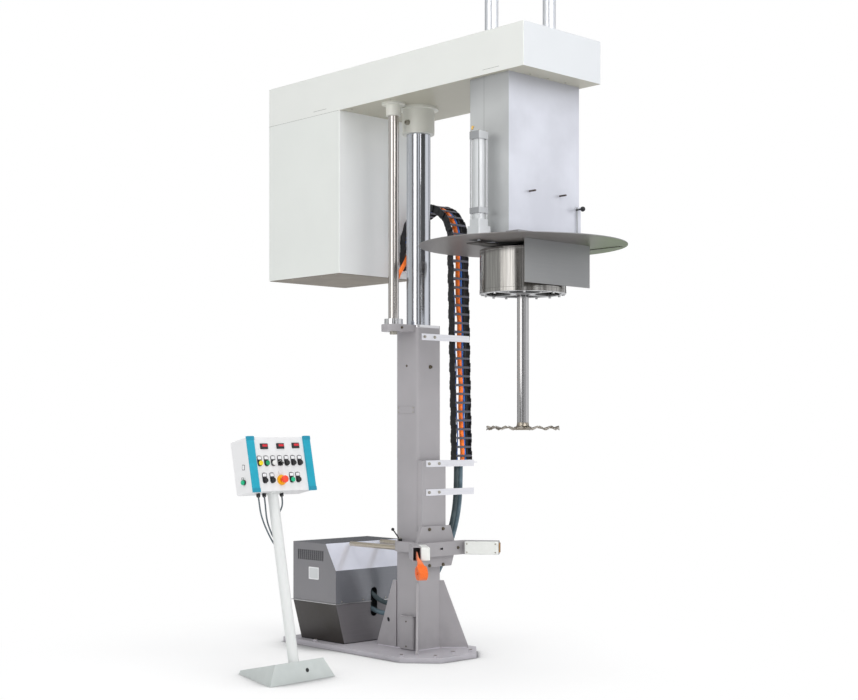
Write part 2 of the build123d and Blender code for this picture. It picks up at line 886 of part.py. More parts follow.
# Hatch: a lapped flap with its hinge pin and a bent rod handle
with BuildPart() as hatch:
    with BuildSketch(Plane.XY.offset(lid_top + face_gap)):
        with Locations(((hatch_left + hatch_right) / 2, (hatch_front_y + hatch_rear_y) / 2)):
            RectangleRounded(hatch_right - hatch_left, hatch_rear_y - hatch_front_y, 8)
    extrude(amount=hatch_sheet)
    with BuildSketch(Plane.YZ.offset(hatch_left + hinge_pin_inset)):
        with Locations((hatch_rear_y + hinge_pin, lid_top + hinge_pin)):
            Circle(hinge_pin / 2)
    extrude(amount=hinge_pin_length)
    with BuildSketch(Plane.YZ.offset(hatch_left + hinge_barrel_inset)):
        with Locations((hatch_rear_y + hinge_pin, lid_top + hinge_pin)):
            Circle(hinge_pin / 2 + 2)
        with Locations((hatch_rear_y, lid_top + hinge_pin / 2 + 1)):
            Rectangle(2 * hinge_pin, hinge_pin - 2)
    extrude(amount=hinge_barrel)
    with BuildLine():
        handle_line = FilletPolyline((handle_x - handle_span / 2, handle_y, lid_top + hatch_sheet - 1),
                                     (handle_x - handle_span / 2, handle_y, lid_top + handle_height),
                                     (handle_x + handle_span / 2, handle_y, lid_top + handle_height),
                                     (handle_x + handle_span / 2, handle_y, lid_top + hatch_sheet - 1),
                                     radius=10)
    with BuildSketch(Plane(origin=handle_line @ 0, z_dir=handle_line % 0)):
        Circle(handle_rod / 2)
    sweep()
hatch.part.label = "hatch"
export_step(hatch.part, "parts/hatch.step")

# Air cylinder on the lid: caps, barrel, four tie rods, foot and flange
with BuildPart() as air_cylinder:
    with BuildSketch(Plane.XY.offset(lid_top)):
        with Locations((air_x, air_y)):
            RectangleRounded(air_flange, air_flange, 6)
    extrude(amount=air_flange_thickness)
    with BuildSketch(Plane.XY.offset(lid_top + air_flange_thickness)):
        with Locations((air_x, air_y)):
            RectangleRounded(air_foot, air_foot, 8)
    extrude(amount=air_low - lid_top - air_flange_thickness, taper=4)
    for low in (air_low, air_high - air_cap):
        with BuildSketch(Plane.XY.offset(low)):
            with Locations((air_x, air_y)):
                RectangleRounded(air_side, air_side, 5)
        extrude(amount=air_cap)
    with BuildSketch(Plane.XY.offset(air_low + air_cap)):
        with Locations((air_x, air_y)):
            Circle(air_barrel / 2)
            with GridLocations(air_side - 2 * tie_rod + 2, air_side - 2 * tie_rod + 2, 2, 2):
                Circle(tie_rod / 2)
    extrude(amount=air_high - air_low - 2 * air_cap)
    with BuildSketch(Plane.XY.offset(air_low + air_end_wall)):
        with Locations((air_x, air_y)):
            Circle(air_bore / 2)
    extrude(amount=air_high - air_low - 2 * air_end_wall, mode=Mode.SUBTRACT)
    with BuildSketch(Plane.XY.offset(lid_top)):
        with Locations((air_x, air_y)):
            Circle(air_rod / 2 + run_gap)
    extrude(amount=air_low + air_end_wall + slide_gap - lid_top, mode=Mode.SUBTRACT)
    with BuildSketch(Plane.XY.offset(air_high)):
        with Locations((air_x + air_fitting_x, air_y + air_fitting_y)):
            Circle(air_fitting / 2)
    extrude(amount=air_fitting)
air_cylinder.part.label = "air_cylinder"
export_step(air_cylinder.part, "parts/air_cylinder.step")

# Lift frame: carrier bar, spacer ring, two lift rods and the air cylinder's piston with its rod
carrier_left = air_x - carrier_left_end
carrier_right = rod_x + carrier_right_end
with BuildPart() as lift_frame:
    with BuildSketch(Plane.XY.offset(carrier_low)):
        with Locations((0, mill_y)):
            Circle(carrier_hub / 2)
        with Locations(((carrier_left + carrier_right) / 2, rod_y - carrier_shift)):
            Rectangle(carrier_right - carrier_left, carrier_width)
        with Locations((0, mill_y)):
            Circle(carrier_bore / 2, mode=Mode.SUBTRACT)
    extrude(amount=carrier_sheet)
    with BuildSketch(Plane.XY.offset(basket_high)):
        with Locations((0, mill_y)):
            Circle(spacer_outer / 2)
            Circle(spacer_inner / 2, mode=Mode.SUBTRACT)
    extrude(amount=carrier_low - basket_high)
    with BuildSketch(Plane.XY.offset(carrier_low + carrier_sheet)):
        with Locations((-rod_x, rod_y), (rod_x, rod_y)):
            Circle(rod_diameter / 2)
    extrude(amount=rod_top - carrier_low - carrier_sheet)
    with BuildSketch(Plane.XY.offset(carrier_low + carrier_sheet)):
        with Locations((air_x, air_y)):
            Circle(air_rod / 2)
    extrude(amount=air_high - air_piston_drop - carrier_low - carrier_sheet)
    with BuildSketch(Plane.XY.offset(air_high - air_piston_drop)):
        with Locations((air_x, air_y)):
            Circle(air_bore / 2 - run_gap)
    extrude(amount=air_piston)
lift_frame.part.label = "lift_frame"
export_step(lift_frame.part, "parts/lift_frame.step")

# Mill basket: a polished pot with an annular top
with BuildPart() as mill_basket:
    with BuildSketch(Plane.XY.offset(basket_low)):
        with Locations((0, mill_y)):
            Circle(basket_diameter / 2)
            Circle(basket_diameter / 2 - basket_wall, mode=Mode.SUBTRACT)
    extrude(amount=basket_high - basket_low)
    with BuildSketch(Plane.XY.offset(basket_high - basket_cover)):
        with Locations((0, mill_y)):
            Circle(basket_diameter / 2 - basket_wall + 1)
            Circle(basket_mouth / 2, mode=Mode.SUBTRACT)
    extrude(amount=basket_cover)
mill_basket.part.label = "mill_basket"
export_step(mill_basket.part, "parts/mill_basket.step")

# Bottom ring of the basket: rim, spokes, hub and hanging bolts
with BuildPart() as basket_bottom:
    with BuildSketch(Plane.XY.offset(basket_low - ring_thickness)):
        with Locations((0, mill_y)):
            Circle(basket_diameter / 2)
            Circle(basket_diameter / 2 - rim_width, mode=Mode.SUBTRACT)
            Circle(ring_hub / 2)
            with PolarLocations(0, spoke_count // 2):
                Rectangle(basket_diameter - rim_width, spoke_width)
            Circle(shaft_diameter / 2 + ring_play, mode=Mode.SUBTRACT)
    extrude(amount=ring_thickness)
    with BuildSketch(Plane.XY.offset(basket_low - ring_thickness - bolt_drop)):
        with Locations((0, mill_y)):
            with PolarLocations(basket_diameter / 2 - bolt_inset, basket_bolts):
                RegularPolygon(bolt_across / 2, 6)
    extrude(amount=bolt_drop)
basket_bottom.part.label = "basket_bottom"
export_step(basket_bottom.part, "parts/basket_bottom.step")

# Rotor inside the basket: hub with two rings of stirring arms
with BuildPart() as mill_rotor:
    with BuildSketch(Plane.XY.offset(basket_low + rotor_clearance)):
        with Locations((0, mill_y)):
            Circle(rotor_hub / 2)
            Circle(shaft_diameter / 2 + run_gap, mode=Mode.SUBTRACT)
    extrude(amount=basket_high - basket_cover - basket_low - 2 * rotor_clearance)
    for height in rotor_ring_heights:
        with BuildSketch(Plane.XY.offset(basket_low + height)):
            with Locations((0, mill_y)):
                Circle(rotor_diameter / 2)
                Circle(rotor_diameter / 2 - rotor_ring, mode=Mode.SUBTRACT)
                with PolarLocations(0, rotor_arms):
                    Rectangle(rotor_diameter - rotor_ring, rotor_arm)
                Circle(rotor_hub / 2 - 5, mode=Mode.SUBTRACT)
        extrude(amount=rotor_ring_thickness)
mill_rotor.part.label = "mill_rotor"
export_step(mill_rotor.part, "parts/mill_rotor.step")


def build_link(centre_x, centre_y, centre_z, angle, wide):
    """Return one chain link: two side plates and two crossbars, its length along the given angle."""
    half = chain_width / 2 if wide else chain_width / 2 - link_plate - link_play
    link_plane = Plane(origin=(centre_x, centre_y, centre_z), x_dir=(0, math.cos(angle), math.sin(angle)),
                       z_dir=(1, 0, 0))
    reach = chain_pitch / 2 + link_lap
    rise = chain_height / 2
    with BuildPart() as link:
        with BuildSketch(link_plane.offset(half - link_plate), link_plane.offset(-half)):
            with BuildLine():
                Polyline((-reach, rise - link_corner), (link_corner - reach, rise),
                         (reach - link_corner, rise), (reach, rise - link_corner),
                         (reach, link_corner - rise), (reach - link_corner, -rise),
                         (link_corner - reach, -rise), (-reach, link_corner - rise), close=True)
            make_face()
        extrude(amount=link_plate)
        with BuildSketch(link_plane.offset(1 - half)):
            with Locations((0, rise - link_bar_sheet), (0, link_bar_sheet - rise)):
                Rectangle(link_bar, link_bar_sheet)
        extrude(amount=2 * half - 2)
    return link.part


# Energy chain, fixed run: links standing on the middle strip's shelf
with BuildPart() as chain_fixed_run:
    add([build_link(chain_foot_x + chain_width / 2 - link_step * index, chain_front_y + chain_height / 2,
                    chain_foot + chain_pitch * (index + 0.5), math.pi / 2, index % 2 == 0)
         for index in range(fixed_links)])
chain_fixed_run.part.label = "chain_fixed_run"
export_step(chain_fixed_run.part, "parts/chain_fixed_run.step")

# Energy chain, loop over the top
with BuildPart() as chain_loop:
    for count in range(fixed_links, fixed_links + loop_links):
        swing = math.pi * (count - fixed_links + 0.5) / loop_links
        add(build_link(chain_foot_x + chain_width / 2 - link_step * count,
                       loop_y - chain_radius * math.cos(swing), loop_z + chain_radius * math.sin(swing),
                       math.pi / 2 - swing, count % 2 == 0))
chain_loop.part.label = "chain_loop"
export_step(chain_loop.part, "parts/chain_loop.step")

# Energy chain, moving run down to the motor box
chain_upper = fixed_links + loop_links
with BuildPart() as chain_moving_run:
    add([build_link(chain_foot_x + chain_width / 2 - link_step * count, loop_y + chain_radius,
                    loop_z - chain_pitch * (count - chain_upper + 0.5), math.pi / 2, count % 2 == 0)
         for count in range(chain_upper, chain_upper + moving_links)])
    with BuildSketch(Plane.XY.offset(loop_z - chain_pitch * moving_links - link_lap - shelf_sheet + 1)):
        with Locations((chain_foot_x + chain_width / 2 - link_step * chain_upper, box_front_y)):
            Rectangle(chain_width, chain_height + 6, align=(Align.CENTER, Align.MAX))
    extrude(amount=shelf_sheet)
chain_moving_run.part.label = "chain_moving_run"
export_step(chain_moving_run.part, "parts/chain_moving_run.step")

# Flat strips that hold the chain and the hoses beside the column
with BuildPart() as chain_brackets:
    for middle, front in ((strip_top_z, -column_half), (strip_mid_z, rail_y), (strip_low_z, rail_y)):
        with BuildSketch(Plane.XZ.offset(-front)):
            with Locations(((strip_left + strip_right) / 2, middle)):
                Rectangle(strip_right - strip_left, strip_height)
        extrude(amount=strip_sheet)
        with BuildSketch(Plane.XZ.offset(-front + strip_sheet)):
            with Locations(*[(strip_left + place, middle) for place in strip_bolt_places]):
                RegularPolygon(bolt_across / 2, 6)
        extrude(amount=strip_sheet)
    with BuildSketch(Plane.XY.offset(shelf_low)):
        with Locations((column_half + 5, rail_y)):
            Rectangle(chain_foot_x + chain_width - column_half - 5, chain_front_y + chain_height - rail_y,
                      align=Align.MIN)
    extrude(amount=shelf_sheet)
chain_brackets.part.label = "chain_brackets"
export_step(chain_brackets.part, "parts/chain_brackets.step")

# Vessel clamp bracket: hexagonal plate on the rail, side cheeks and bored guide blocks
with BuildPart() as clamp_bracket:
    with BuildSketch(Plane.XZ.offset(-rail_y)):
        with BuildLine():
            Polyline((-hexagon_top_half, hexagon_top), (hexagon_top_half, hexagon_top),
                     (hexagon_half, hexagon_wide), (hexagon_low_half, hexagon_low),
                     (-hexagon_low_half, hexagon_low), (-hexagon_half, hexagon_wide), close=True)
        make_face()
    extrude(amount=hexagon_sheet)
    with BuildSketch(Plane.XY.offset(block_low)):
        for side in (-1, 1):
            with Locations((side * (column_half + block_outer) / 2, (rail_y + block_rear_y) / 2)):
                Rectangle(block_outer - column_half, block_rear_y - rail_y)
    extrude(amount=block_high - block_low)
    block_edges = clamp_bracket.edges().filter_by(Axis.Z).filter_by_position(
        Axis.Y, block_rear_y - slide_gap, block_rear_y + slide_gap).sort_by(Axis.X)
    fillet([block_edges[0], block_edges[-1]], block_corner)
    for side in (-1, 1):
        with BuildSketch(Plane.YZ.offset(side * (column_half + cheek_sheet / 2) - cheek_sheet / 2)):
            with BuildLine():
                Polyline((rail_y, block_high), (rail_y, hexagon_top - cheek_sheet), (0, block_high),
                         close=True)
            make_face()
        extrude(amount=cheek_sheet)
    with BuildSketch(Plane.XZ.offset(-rail_y + hexagon_sheet)):
        with Locations((-tube_x, tube_z), (tube_x, tube_z)):
            Circle(tube_diameter / 2 + run_gap)
    extrude(amount=-(block_rear_y - rail_y + hexagon_sheet), mode=Mode.SUBTRACT)
    with BuildSketch(Plane.XZ.offset(-rail_y + hexagon_sheet)):
        for side in (-1, 1):
            with Locations((side * hexagon_bolt_x, hexagon_top - hexagon_bolt_drop),
                           (side * hexagon_bolt_x, hexagon_low + hexagon_bolt_rise)):
                RegularPolygon(hexagon_bolt / 2, 6)
    extrude(amount=hexagon_bolt_head)
clamp_bracket.part.label = "clamp_bracket"
export_step(clamp_bracket.part, "parts/clamp_bracket.step")

# Clamp yoke: crossbar, two box arms open at their ends, and the guide tubes behind it
bar_front_y = yoke_rear_y - yoke_depth
along = math.sin(math.radians(arm_angle))
ahead = math.cos(math.radians(arm_angle))
yoke_mid_z = (yoke_low + yoke_high) / 2
with BuildPart() as clamp_yoke:
    with BuildSketch(Plane.XY.offset(yoke_low)):
        Polygon((-yoke_half, yoke_rear_y - face_gap), (yoke_half, yoke_rear_y - face_gap),
                (yoke_half, bar_front_y), (-yoke_half, bar_front_y), align=None)
    extrude(amount=yoke_high - yoke_low)
    for side in (-1, 1):
        inner_x = side * yoke_half
        tip = (inner_x + side * arm_length * along, bar_front_y - arm_length * ahead)
        outward = (side * arm_depth * ahead, arm_depth * along)
        with BuildSketch(Plane.XY.offset(yoke_low)):
            Polygon((inner_x, bar_front_y), tip, (tip[0] + outward[0], tip[1] + outward[1]),
                    (inner_x + outward[0], bar_front_y + outward[1]),
                    (inner_x - side * 2, yoke_rear_y - face_gap), align=None)
        extrude(amount=yoke_high - yoke_low)
        arm_plane = Plane(origin=(tip[0] + outward[0] / 2, tip[1] + outward[1] / 2, yoke_mid_z),
                          x_dir=(side * ahead, along, 0), z_dir=(side * along, -ahead, 0))
        with BuildSketch(arm_plane):
            Rectangle(arm_depth - 2 * arm_sheet, yoke_high - yoke_low - 2 * arm_sheet)
        extrude(amount=yoke_depth / 2 - arm_length, mode=Mode.SUBTRACT)
    with BuildSketch(Plane.XZ.offset(-yoke_rear_y + slide_gap)):
        with Locations((-tube_x, tube_z), (tube_x, tube_z)):
            Circle(tube_diameter / 2)
    extrude(amount=-(tube_rear_y - yoke_rear_y + slide_gap))
    with BuildSketch(Plane.XZ.offset(-bar_front_y)):
        with Locations((0, tube_z)):
            Circle(yoke_hole / 2)
    extrude(amount=-yoke_depth + 10, mode=Mode.SUBTRACT)
    with BuildSketch(Plane.XZ.offset(-bar_front_y)):
        with Locations((-yoke_bolt_x, tube_z), (yoke_bolt_x, tube_z)):
            RegularPolygon(bolt_across / 2, 6)
    extrude(amount=6)
clamp_yoke.part.label = "clamp_yoke"
export_step(clamp_yoke.part, "parts/clamp_yoke.step")

# Two pads on the inner faces of the arms
with BuildPart() as clamp_pads:
    for side in (-1, 1):
        start = (side * (yoke_half + pad_start * along), bar_front_y - pad_start * ahead)
        tip = (side * (yoke_half + arm_length * along), bar_front_y - arm_length * ahead)
        inward = (-side * pad_depth * ahead, -pad_depth * along)
        with BuildSketch(Plane.XY.offset(yoke_mid_z - pad_height / 2)):
            Polygon(start, tip, (tip[0] + inward[0], tip[1] + inward[1]),
                    (start[0] + inward[0], start[1] + inward[1]), align=None)
        extrude(amount=pad_height)
    fillet(clamp_pads.edges().filter_by(Axis.Z), 4)
clamp_pads.part.label = "clamp_pads"
export_step(clamp_pads.part, "parts/clamp_pads.step")

# Tension strap: a tongue standing in the left arm's open end, the leaning webbing and its roll
arm_end = Vector(-yoke_half - arm_length * along - arm_depth / 2 * ahead,
                 bar_front_y - arm_length * ahead + arm_depth / 2 * along, yoke_low + arm_sheet)
arm_line = Vector(-along, -ahead, 0)
roll_line = Vector(math.cos(math.radians(roll_turn)), math.sin(math.radians(roll_turn)), 0)
neck = arm_end + arm_line * (strap_outside - strap_sheet)
with BuildPart() as tension_strap:
    with BuildSketch(Plane(origin=arm_end, x_dir=arm_line)):
        with Locations((strap_outside - strap_tongue / 2, 0)):
            Rectangle(strap_tongue, strap_sheet)
    extrude(amount=strap_width)
    with BuildSketch(Plane(origin=(neck.X, neck.Y, 0), x_dir=roll_line,
                           z_dir=roll_line.cross(Vector(0, 0, 1)))):
        Polygon((-strap_neck / 2, neck.Z + strap_width / 2), (strap_neck / 2, neck.Z + strap_width / 2),
                (strap_lean + strap_width / 2, roll_z), (strap_lean - strap_width / 2, roll_z), align=None)
    extrude(amount=strap_sheet / 2, both=True)
    roll_middle = neck + roll_line * strap_lean
    with BuildSketch(Plane(origin=(roll_middle.X, roll_middle.Y, roll_z), z_dir=roll_line)):
        Circle(roll_diameter / 2)
        Circle(roll_bore / 2, mode=Mode.SUBTRACT)
    extrude(amount=strap_width / 2, both=True)
tension_strap.part.label = "tension_strap"
export_step(tension_strap.part, "parts/tension_strap.step")

# Clamp lever: hub on the left guide block, leaning stem and ball
with BuildPart() as clamp_lever:
    with BuildSketch(Plane.XY.offset(block_high + face_gap)):
        with Locations((-tube_x, lever_y)):
            Circle(lever_hub / 2)
    extrude(amount=lever_hub_height)
    with BuildLine():
        stem_line = Line((-tube_x, lever_y, block_high + lever_hub_height / 2),
                         (-tube_x - lever_reach, lever_y + lever_reach, block_high + lever_rise))
    with BuildSketch(Plane(origin=stem_line @ 0, z_dir=stem_line % 0)):
        Circle(lever_stem / 2)
    sweep()
    with Locations(stem_line @ 1):
        Sphere(lever_ball / 2)
clamp_lever.part.label = "clamp_lever"
export_step(clamp_lever.part, "parts/clamp_lever.step")

# Hydraulic unit: flared tray on the base plate
unit_mid_y = (unit_front_y + unit_rear_y) / 2
unit_length = unit_rear_y - unit_front_y
with BuildPart() as hydraulic_tray:
    for shrink, mode in ((0, Mode.ADD), (unit_sheet, Mode.SUBTRACT)):
        low = plate_thickness + shrink
        with BuildSketch(Plane.XY.offset(low)):
            with Locations((0, unit_mid_y)):
                Rectangle(2 * (tray_half - shrink), unit_length - 2 * shrink)
        with BuildSketch(Plane.XY.offset(waist_z)):
            with Locations((0, unit_mid_y)):
                Rectangle(2 * (hood_half - shrink), unit_length - 2 * shrink)
        loft(mode=mode)
    with BuildSketch(Plane.XZ.offset(-unit_front_y - 20)):
        with Locations((0, (slot_low + slot_high) / 2)):
            SlotOverall(slot_high - slot_low, slot_width, rotation=90)
    extrude(amount=40, mode=Mode.SUBTRACT)
hydraulic_tray.part.label = "hydraulic_tray"
export_step(hydraulic_tray.part, "parts/hydraulic_tray.step")

# Hydraulic unit: hood with a slanted front, hose slot and vent slots on both sides
with BuildPart() as hydraulic_hood:
    for shrink, mode in ((0, Mode.ADD), (unit_sheet, Mode.SUBTRACT)):
        with BuildSketch(Plane.YZ.offset(shrink - hood_half)):
            with BuildLine():
                Polyline((unit_front_y + shrink, waist_z),
                         (unit_front_y + shrink, hood_slope_low - shrink / 2),
                         (hood_slope_y + shrink / 2, hood_top - shrink),
                         (unit_rear_y - shrink, hood_top - shrink), (unit_rear_y - shrink, waist_z),
                         close=True)
            make_face()
        extrude(amount=2 * (hood_half - shrink), mode=mode)
    with BuildSketch(Plane.XZ.offset(-unit_front_y - 20)):
        with Locations((0, (slot_low + slot_high) / 2)):
            SlotOverall(slot_high - slot_low, slot_width, rotation=90)
    extrude(amount=40, mode=Mode.SUBTRACT)
    with BuildSketch(Plane.YZ.offset(-hood_half - slide_gap)):
        with Locations(((vent_front_y + vent_rear_y) / 2, (vent_low + vent_high) / 2)):
            with GridLocations((vent_rear_y - vent_front_y) / vent_columns,
                               (vent_high - vent_low) / vent_rows, vent_columns, vent_rows):
                Rectangle(vent_length, vent_width, rotation=vent_slant)
    extrude(amount=2 * (hood_half + slide_gap), mode=Mode.SUBTRACT)
hydraulic_hood.part.label = "hydraulic_hood"
export_step(hydraulic_hood.part, "parts/hydraulic_hood.step")

# Power pack inside the hydraulic unit: oil tank with its upright pump motor
with BuildPart() as power_pack:
    with BuildSketch(Plane.XY.offset(plate_thickness + unit_sheet)):
        with Locations((0, unit_mid_y + tank_back)):
            RectangleRounded(tank_width, tank_length, tank_corner)
    extrude(amount=tank_height)
    with BuildSketch(Plane.XY.offset(plate_thickness + unit_sheet + tank_height)):
        with Locations((0, unit_mid_y + 2 * tank_back)):
            Circle(pump_diameter / 2)
    extrude(amount=pump_height)
power_pack.part.label = "power_pack"
export_step(power_pack.part, "parts/power_pack.step")


def corner_radii(points):
    """Return one radius for each corner of a cord's route: as large as its two runs allow."""
    radii = []
    for before, here, after in zip(points, points[1:], points[2:]):
        first = Vector(*here) - Vector(*before)
        second = Vector(*after) - Vector(*here)
        turn = math.radians(first.get_angle(second))
        radii.append(0.45 * min(first.length, second.length) / math.tan(turn / 2))
    return radii


def build_cord(points, diameter, name):
    """Return a cord's tube along straight runs and tangent arcs, and print its radii and length."""
    radii = corner_radii(points)
    with BuildPart() as cord:
        with BuildLine():
            route = FilletPolyline(*points, radius=radii)
        with BuildSketch(Plane(origin=route @ 0, z_dir=route % 0)):
            Circle(diameter / 2)
        sweep()
    ratio = cord.part.volume / (math.pi * diameter ** 2 / 4 * route.length)
    print(name, "length", round(route.length), "least radius", round(min(radii)),
          "volume ratio", round(ratio, 4))
    return cord.part


# Hoses from the chain's foot, down behind the column and into the hydraulic unit
hose_y = chain_front_y + chain_height / 2
hose_x = chain_foot_x + hose_inset
hose_top = shelf_low - face_gap
supply_route = [(hose_x, hose_y, hose_top), (hose_x, hose_y, 1010), (254, -56, 850), (246, -10, 700),
                (238, 60, 564), (228, 136, 442), (192, 216, 330), (125, 288, 271), (53, 356, 266),
                (0, 424, 318), (-24, 478, 378)]
return_route = [(hose_x + hose_spacing, hose_y, hose_top), (hose_x + hose_spacing, hose_y, 1005),
                (292, -54, 840), (287, -4, 684), (282, 72, 541), (270, 152, 408), (236, 190, 338),
                (156, 243, 254), (70, 322, 197), (0, 424, 222), (-28, 486, 266)]
hose_supply = build_cord(supply_route, hose_diameter, "hose_supply")
hose_supply.label = "hose_supply"
export_step(hose_supply, "parts/hose_supply.step")
hose_return = build_cord(return_route, hose_diameter, "hose_return")
hose_return.label = "hose_return"
export_step(hose_return, "parts/hose_return.step")

# Pedestal base: a hollow wedge foot
foot_plane = Plane(origin=(foot_x, foot_y, 0), x_dir=(math.cos(math.radians(foot_turn)),
                   math.sin(math.radians(foot_turn)), 0), z_dir=(0, 0, 1))
slope = math.radians(foot_slope)
ridge_origin = foot_plane.from_local_coords(Vector(0, ridge_back, ridge_z))
slope_axis = foot_plane.y_dir * math.sin(slope) + foot_plane.z_dir * math.cos(slope)
ridge_plane = Plane(origin=ridge_origin, x_dir=foot_plane.x_dir, z_dir=slope_axis)
slope_length = (foot_depth - ridge_back - 6) / math.cos(slope)
with BuildPart() as pedestal_base:
    for shrink, mode in ((0, Mode.ADD), (foot_wall, Mode.SUBTRACT)):
        with BuildSketch(foot_plane):
            Polygon((shrink * 2 - foot_half, shrink), (foot_half - shrink * 2, shrink),
                    (foot_rear_half - shrink, foot_depth - 4 * shrink),
                    (shrink - foot_rear_half, foot_depth - 4 * shrink), align=None)
        with BuildSketch(ridge_plane.offset(-shrink)):
            Polygon((shrink * 2 - ridge_half, shrink), (ridge_half - shrink * 2, shrink),
                    (foot_rear_half - 8 - shrink, slope_length - 4 * shrink),
                    (shrink + 8 - foot_rear_half, slope_length - 4 * shrink), align=None)
        loft(ruled=True, mode=mode)
pedestal_base.part.label = "pedestal_base"
export_step(pedestal_base.part, "parts/pedestal_base.step")

# Pedestal post: a leaning tube from the wedge to the panel's underside
post_top = panel_plane.from_local_coords(Vector(post_offset, 0, -panel_depth / 2))
post_foot = Vector(foot_x - 6, post_foot_y, ridge_z - post_sink)
post_plane = Plane(origin=post_foot, z_dir=post_top - post_foot)
with BuildPart() as pedestal_post:
    with BuildSketch(post_plane):
        Circle(post_diameter / 2)
        Circle(post_diameter / 2 - post_wall, mode=Mode.SUBTRACT)
    extrude(amount=(post_top - post_foot).length + post_diameter)
    with BuildSketch(Plane(origin=post_top, x_dir=(1, 0, 0), z_dir=panel_plane.y_dir)):
        Rectangle(3 * post_diameter, 3 * post_diameter)
    extrude(amount=2 * post_diameter, mode=Mode.SUBTRACT)
    with BuildSketch(ridge_plane):
        Rectangle(2 * foot_half, 2 * foot_depth)
    extrude(amount=-ridge_z, mode=Mode.SUBTRACT)
    with BuildSketch(Plane(origin=post_top, x_dir=(1, 0, 0), z_dir=-panel_plane.y_dir)):
        RectangleRounded(post_flange_width, post_flange_length, 8)
        Circle(post_diameter / 2 - post_wall, mode=Mode.SUBTRACT)
    extrude(amount=post_flange_sheet)
pedestal_post.part.label = "pedestal_post"
export_step(pedestal_post.part, "parts/pedestal_post.step")

# Control panel housing with holes for its controls and its three cable glands
row_one_places = [row_one_start + button_pitch * index for index in range(7)]
control_places = [(x, row_one) for x in row_one_places] + [(x, row_two) for x in row_two_places]
with BuildPart() as panel_housing:
    with BuildSketch(panel_plane):
        with Locations((0, panel_height / 2)):
            RectangleRounded(panel_width, panel_height, panel_corner)
    extrude(amount=-panel_depth)
    with BuildSketch(panel_plane.offset(-panel_wall)):
        with Locations((0, panel_height / 2)):
            RectangleRounded(panel_width - 2 * panel_wall, panel_height - 2 * panel_wall,
                             panel_corner - panel_wall)
    extrude(amount=2 * panel_wall - panel_depth, mode=Mode.SUBTRACT)
    with BuildSketch(panel_plane):
        with Locations(*control_places, (estop_place, row_two)):
            Circle(button_stem / 2 + face_gap)
    extrude(amount=-panel_wall, mode=Mode.SUBTRACT)
    side_seat = panel_plane.from_local_coords(Vector(-panel_width / 2, side_button_y, -side_button_depth))
    side_plane = Plane(origin=side_seat, x_dir=(0, 0, 1), z_dir=(-1, 0, 0))
    with BuildSketch(side_plane):
        Circle(button_stem / 2 + face_gap)
    extrude(amount=-panel_wall, mode=Mode.SUBTRACT)
    with BuildSketch(Plane(origin=panel_plane.from_local_coords(Vector(0, 0, -panel_depth / 2)),
                           x_dir=(1, 0, 0), z_dir=-panel_plane.y_dir)):
        with Locations(*[(x, 0) for x in gland_places]):
            RegularPolygon(gland_diameter / 2, 6)
    extrude(amount=gland_length)
panel_housing.part.label = "panel_housing"
export_step(panel_housing.part, "parts/panel_housing.step")

# Two coloured handle strips at the ends of the panel's front
with BuildPart() as handle_strips:
    with BuildSketch(panel_plane):
        for side in (-1, 1):
            with Locations((side * (panel_width - strip_bar) / 2, panel_height / 2)):
                Rectangle(strip_bar, panel_height + 10)
    extrude(amount=strip_bar_depth)
    fillet(handle_strips.faces().filter_by(panel_axis).sort_by(panel_axis)[-2:].edges(), 4)
handle_strips.part.label = "handle_strips"
export_step(handle_strips.part, "parts/handle_strips.step")

# Panel fittings: bezels, display frames, blank label holders and the emergency stop's disc
with BuildPart() as panel_fittings:
    with BuildSketch(panel_plane):
        with Locations(*control_places):
            Circle(bezel_diameter / 2)
            Circle(button_diameter / 2 + face_gap, mode=Mode.SUBTRACT)
    extrude(amount=bezel_depth)
    with BuildSketch(side_plane):
        Circle(bezel_diameter / 2)
        Circle(button_diameter / 2 + face_gap, mode=Mode.SUBTRACT)
    extrude(amount=bezel_depth)
    with BuildSketch(panel_plane):
        with Locations((estop_place, row_two)):
            Circle(estop_disc_diameter / 2)
            Circle(button_stem / 2 + face_gap, mode=Mode.SUBTRACT)
    extrude(amount=bezel_depth)
    with BuildSketch(panel_plane):
        with Locations(*display_places):
            Rectangle(display_width, display_height)
    extrude(amount=display_depth)
    with BuildSketch(panel_plane):
        with Locations(*[(x, y + label_rise) for x, y in control_places],
                       (estop_place, row_two + estop_label_rise)):
            Rectangle(label_width, label_height)
    extrude(amount=label_depth)
panel_fittings.part.label = "panel_fittings"
export_step(panel_fittings.part, "parts/panel_fittings.step")

# Push-buttons, one piece each, on the panel and on its left side
button_names = ["button_yellow", "button_green", "button_white", "selector_switch", "button_black_a",
                "button_black_b", "button_black_c", "button_black_d", "button_black_e", "button_green_low",
                "button_black_f"]
for name, (x, y) in zip(button_names, control_places):
    with BuildPart() as button:
        with BuildSketch(panel_plane.offset(button_travel + 1)):
            with Locations((x, y)):
                Circle(button_diameter / 2)
        extrude(amount=bezel_depth - button_travel)
        with BuildSketch(panel_plane.offset(-panel_wall - button_inside)):
            with Locations((x, y)):
                Circle(button_stem / 2)
        extrude(amount=panel_wall + button_inside + 1 + button_travel)
        if name == "selector_switch":
            with BuildSketch(panel_plane.offset(button_travel + 1)):
                with Locations((x, y)):
                    RectangleRounded(selector_width, selector_length, 3, rotation=45)
            extrude(amount=selector_height)
    button.part.label = name
    export_step(button.part, f"parts/{name}.step")

with BuildPart() as side_button:
    with BuildSketch(side_plane.offset(button_travel + 1)):
        Circle(button_diameter / 2)
    extrude(amount=bezel_depth - button_travel)
    with BuildSketch(side_plane.offset(-panel_wall - button_inside)):
        Circle(button_stem / 2)
    extrude(amount=panel_wall + button_inside + 1 + button_travel)
side_button.part.label = "side_button"
export_step(side_button.part, "parts/side_button.step")

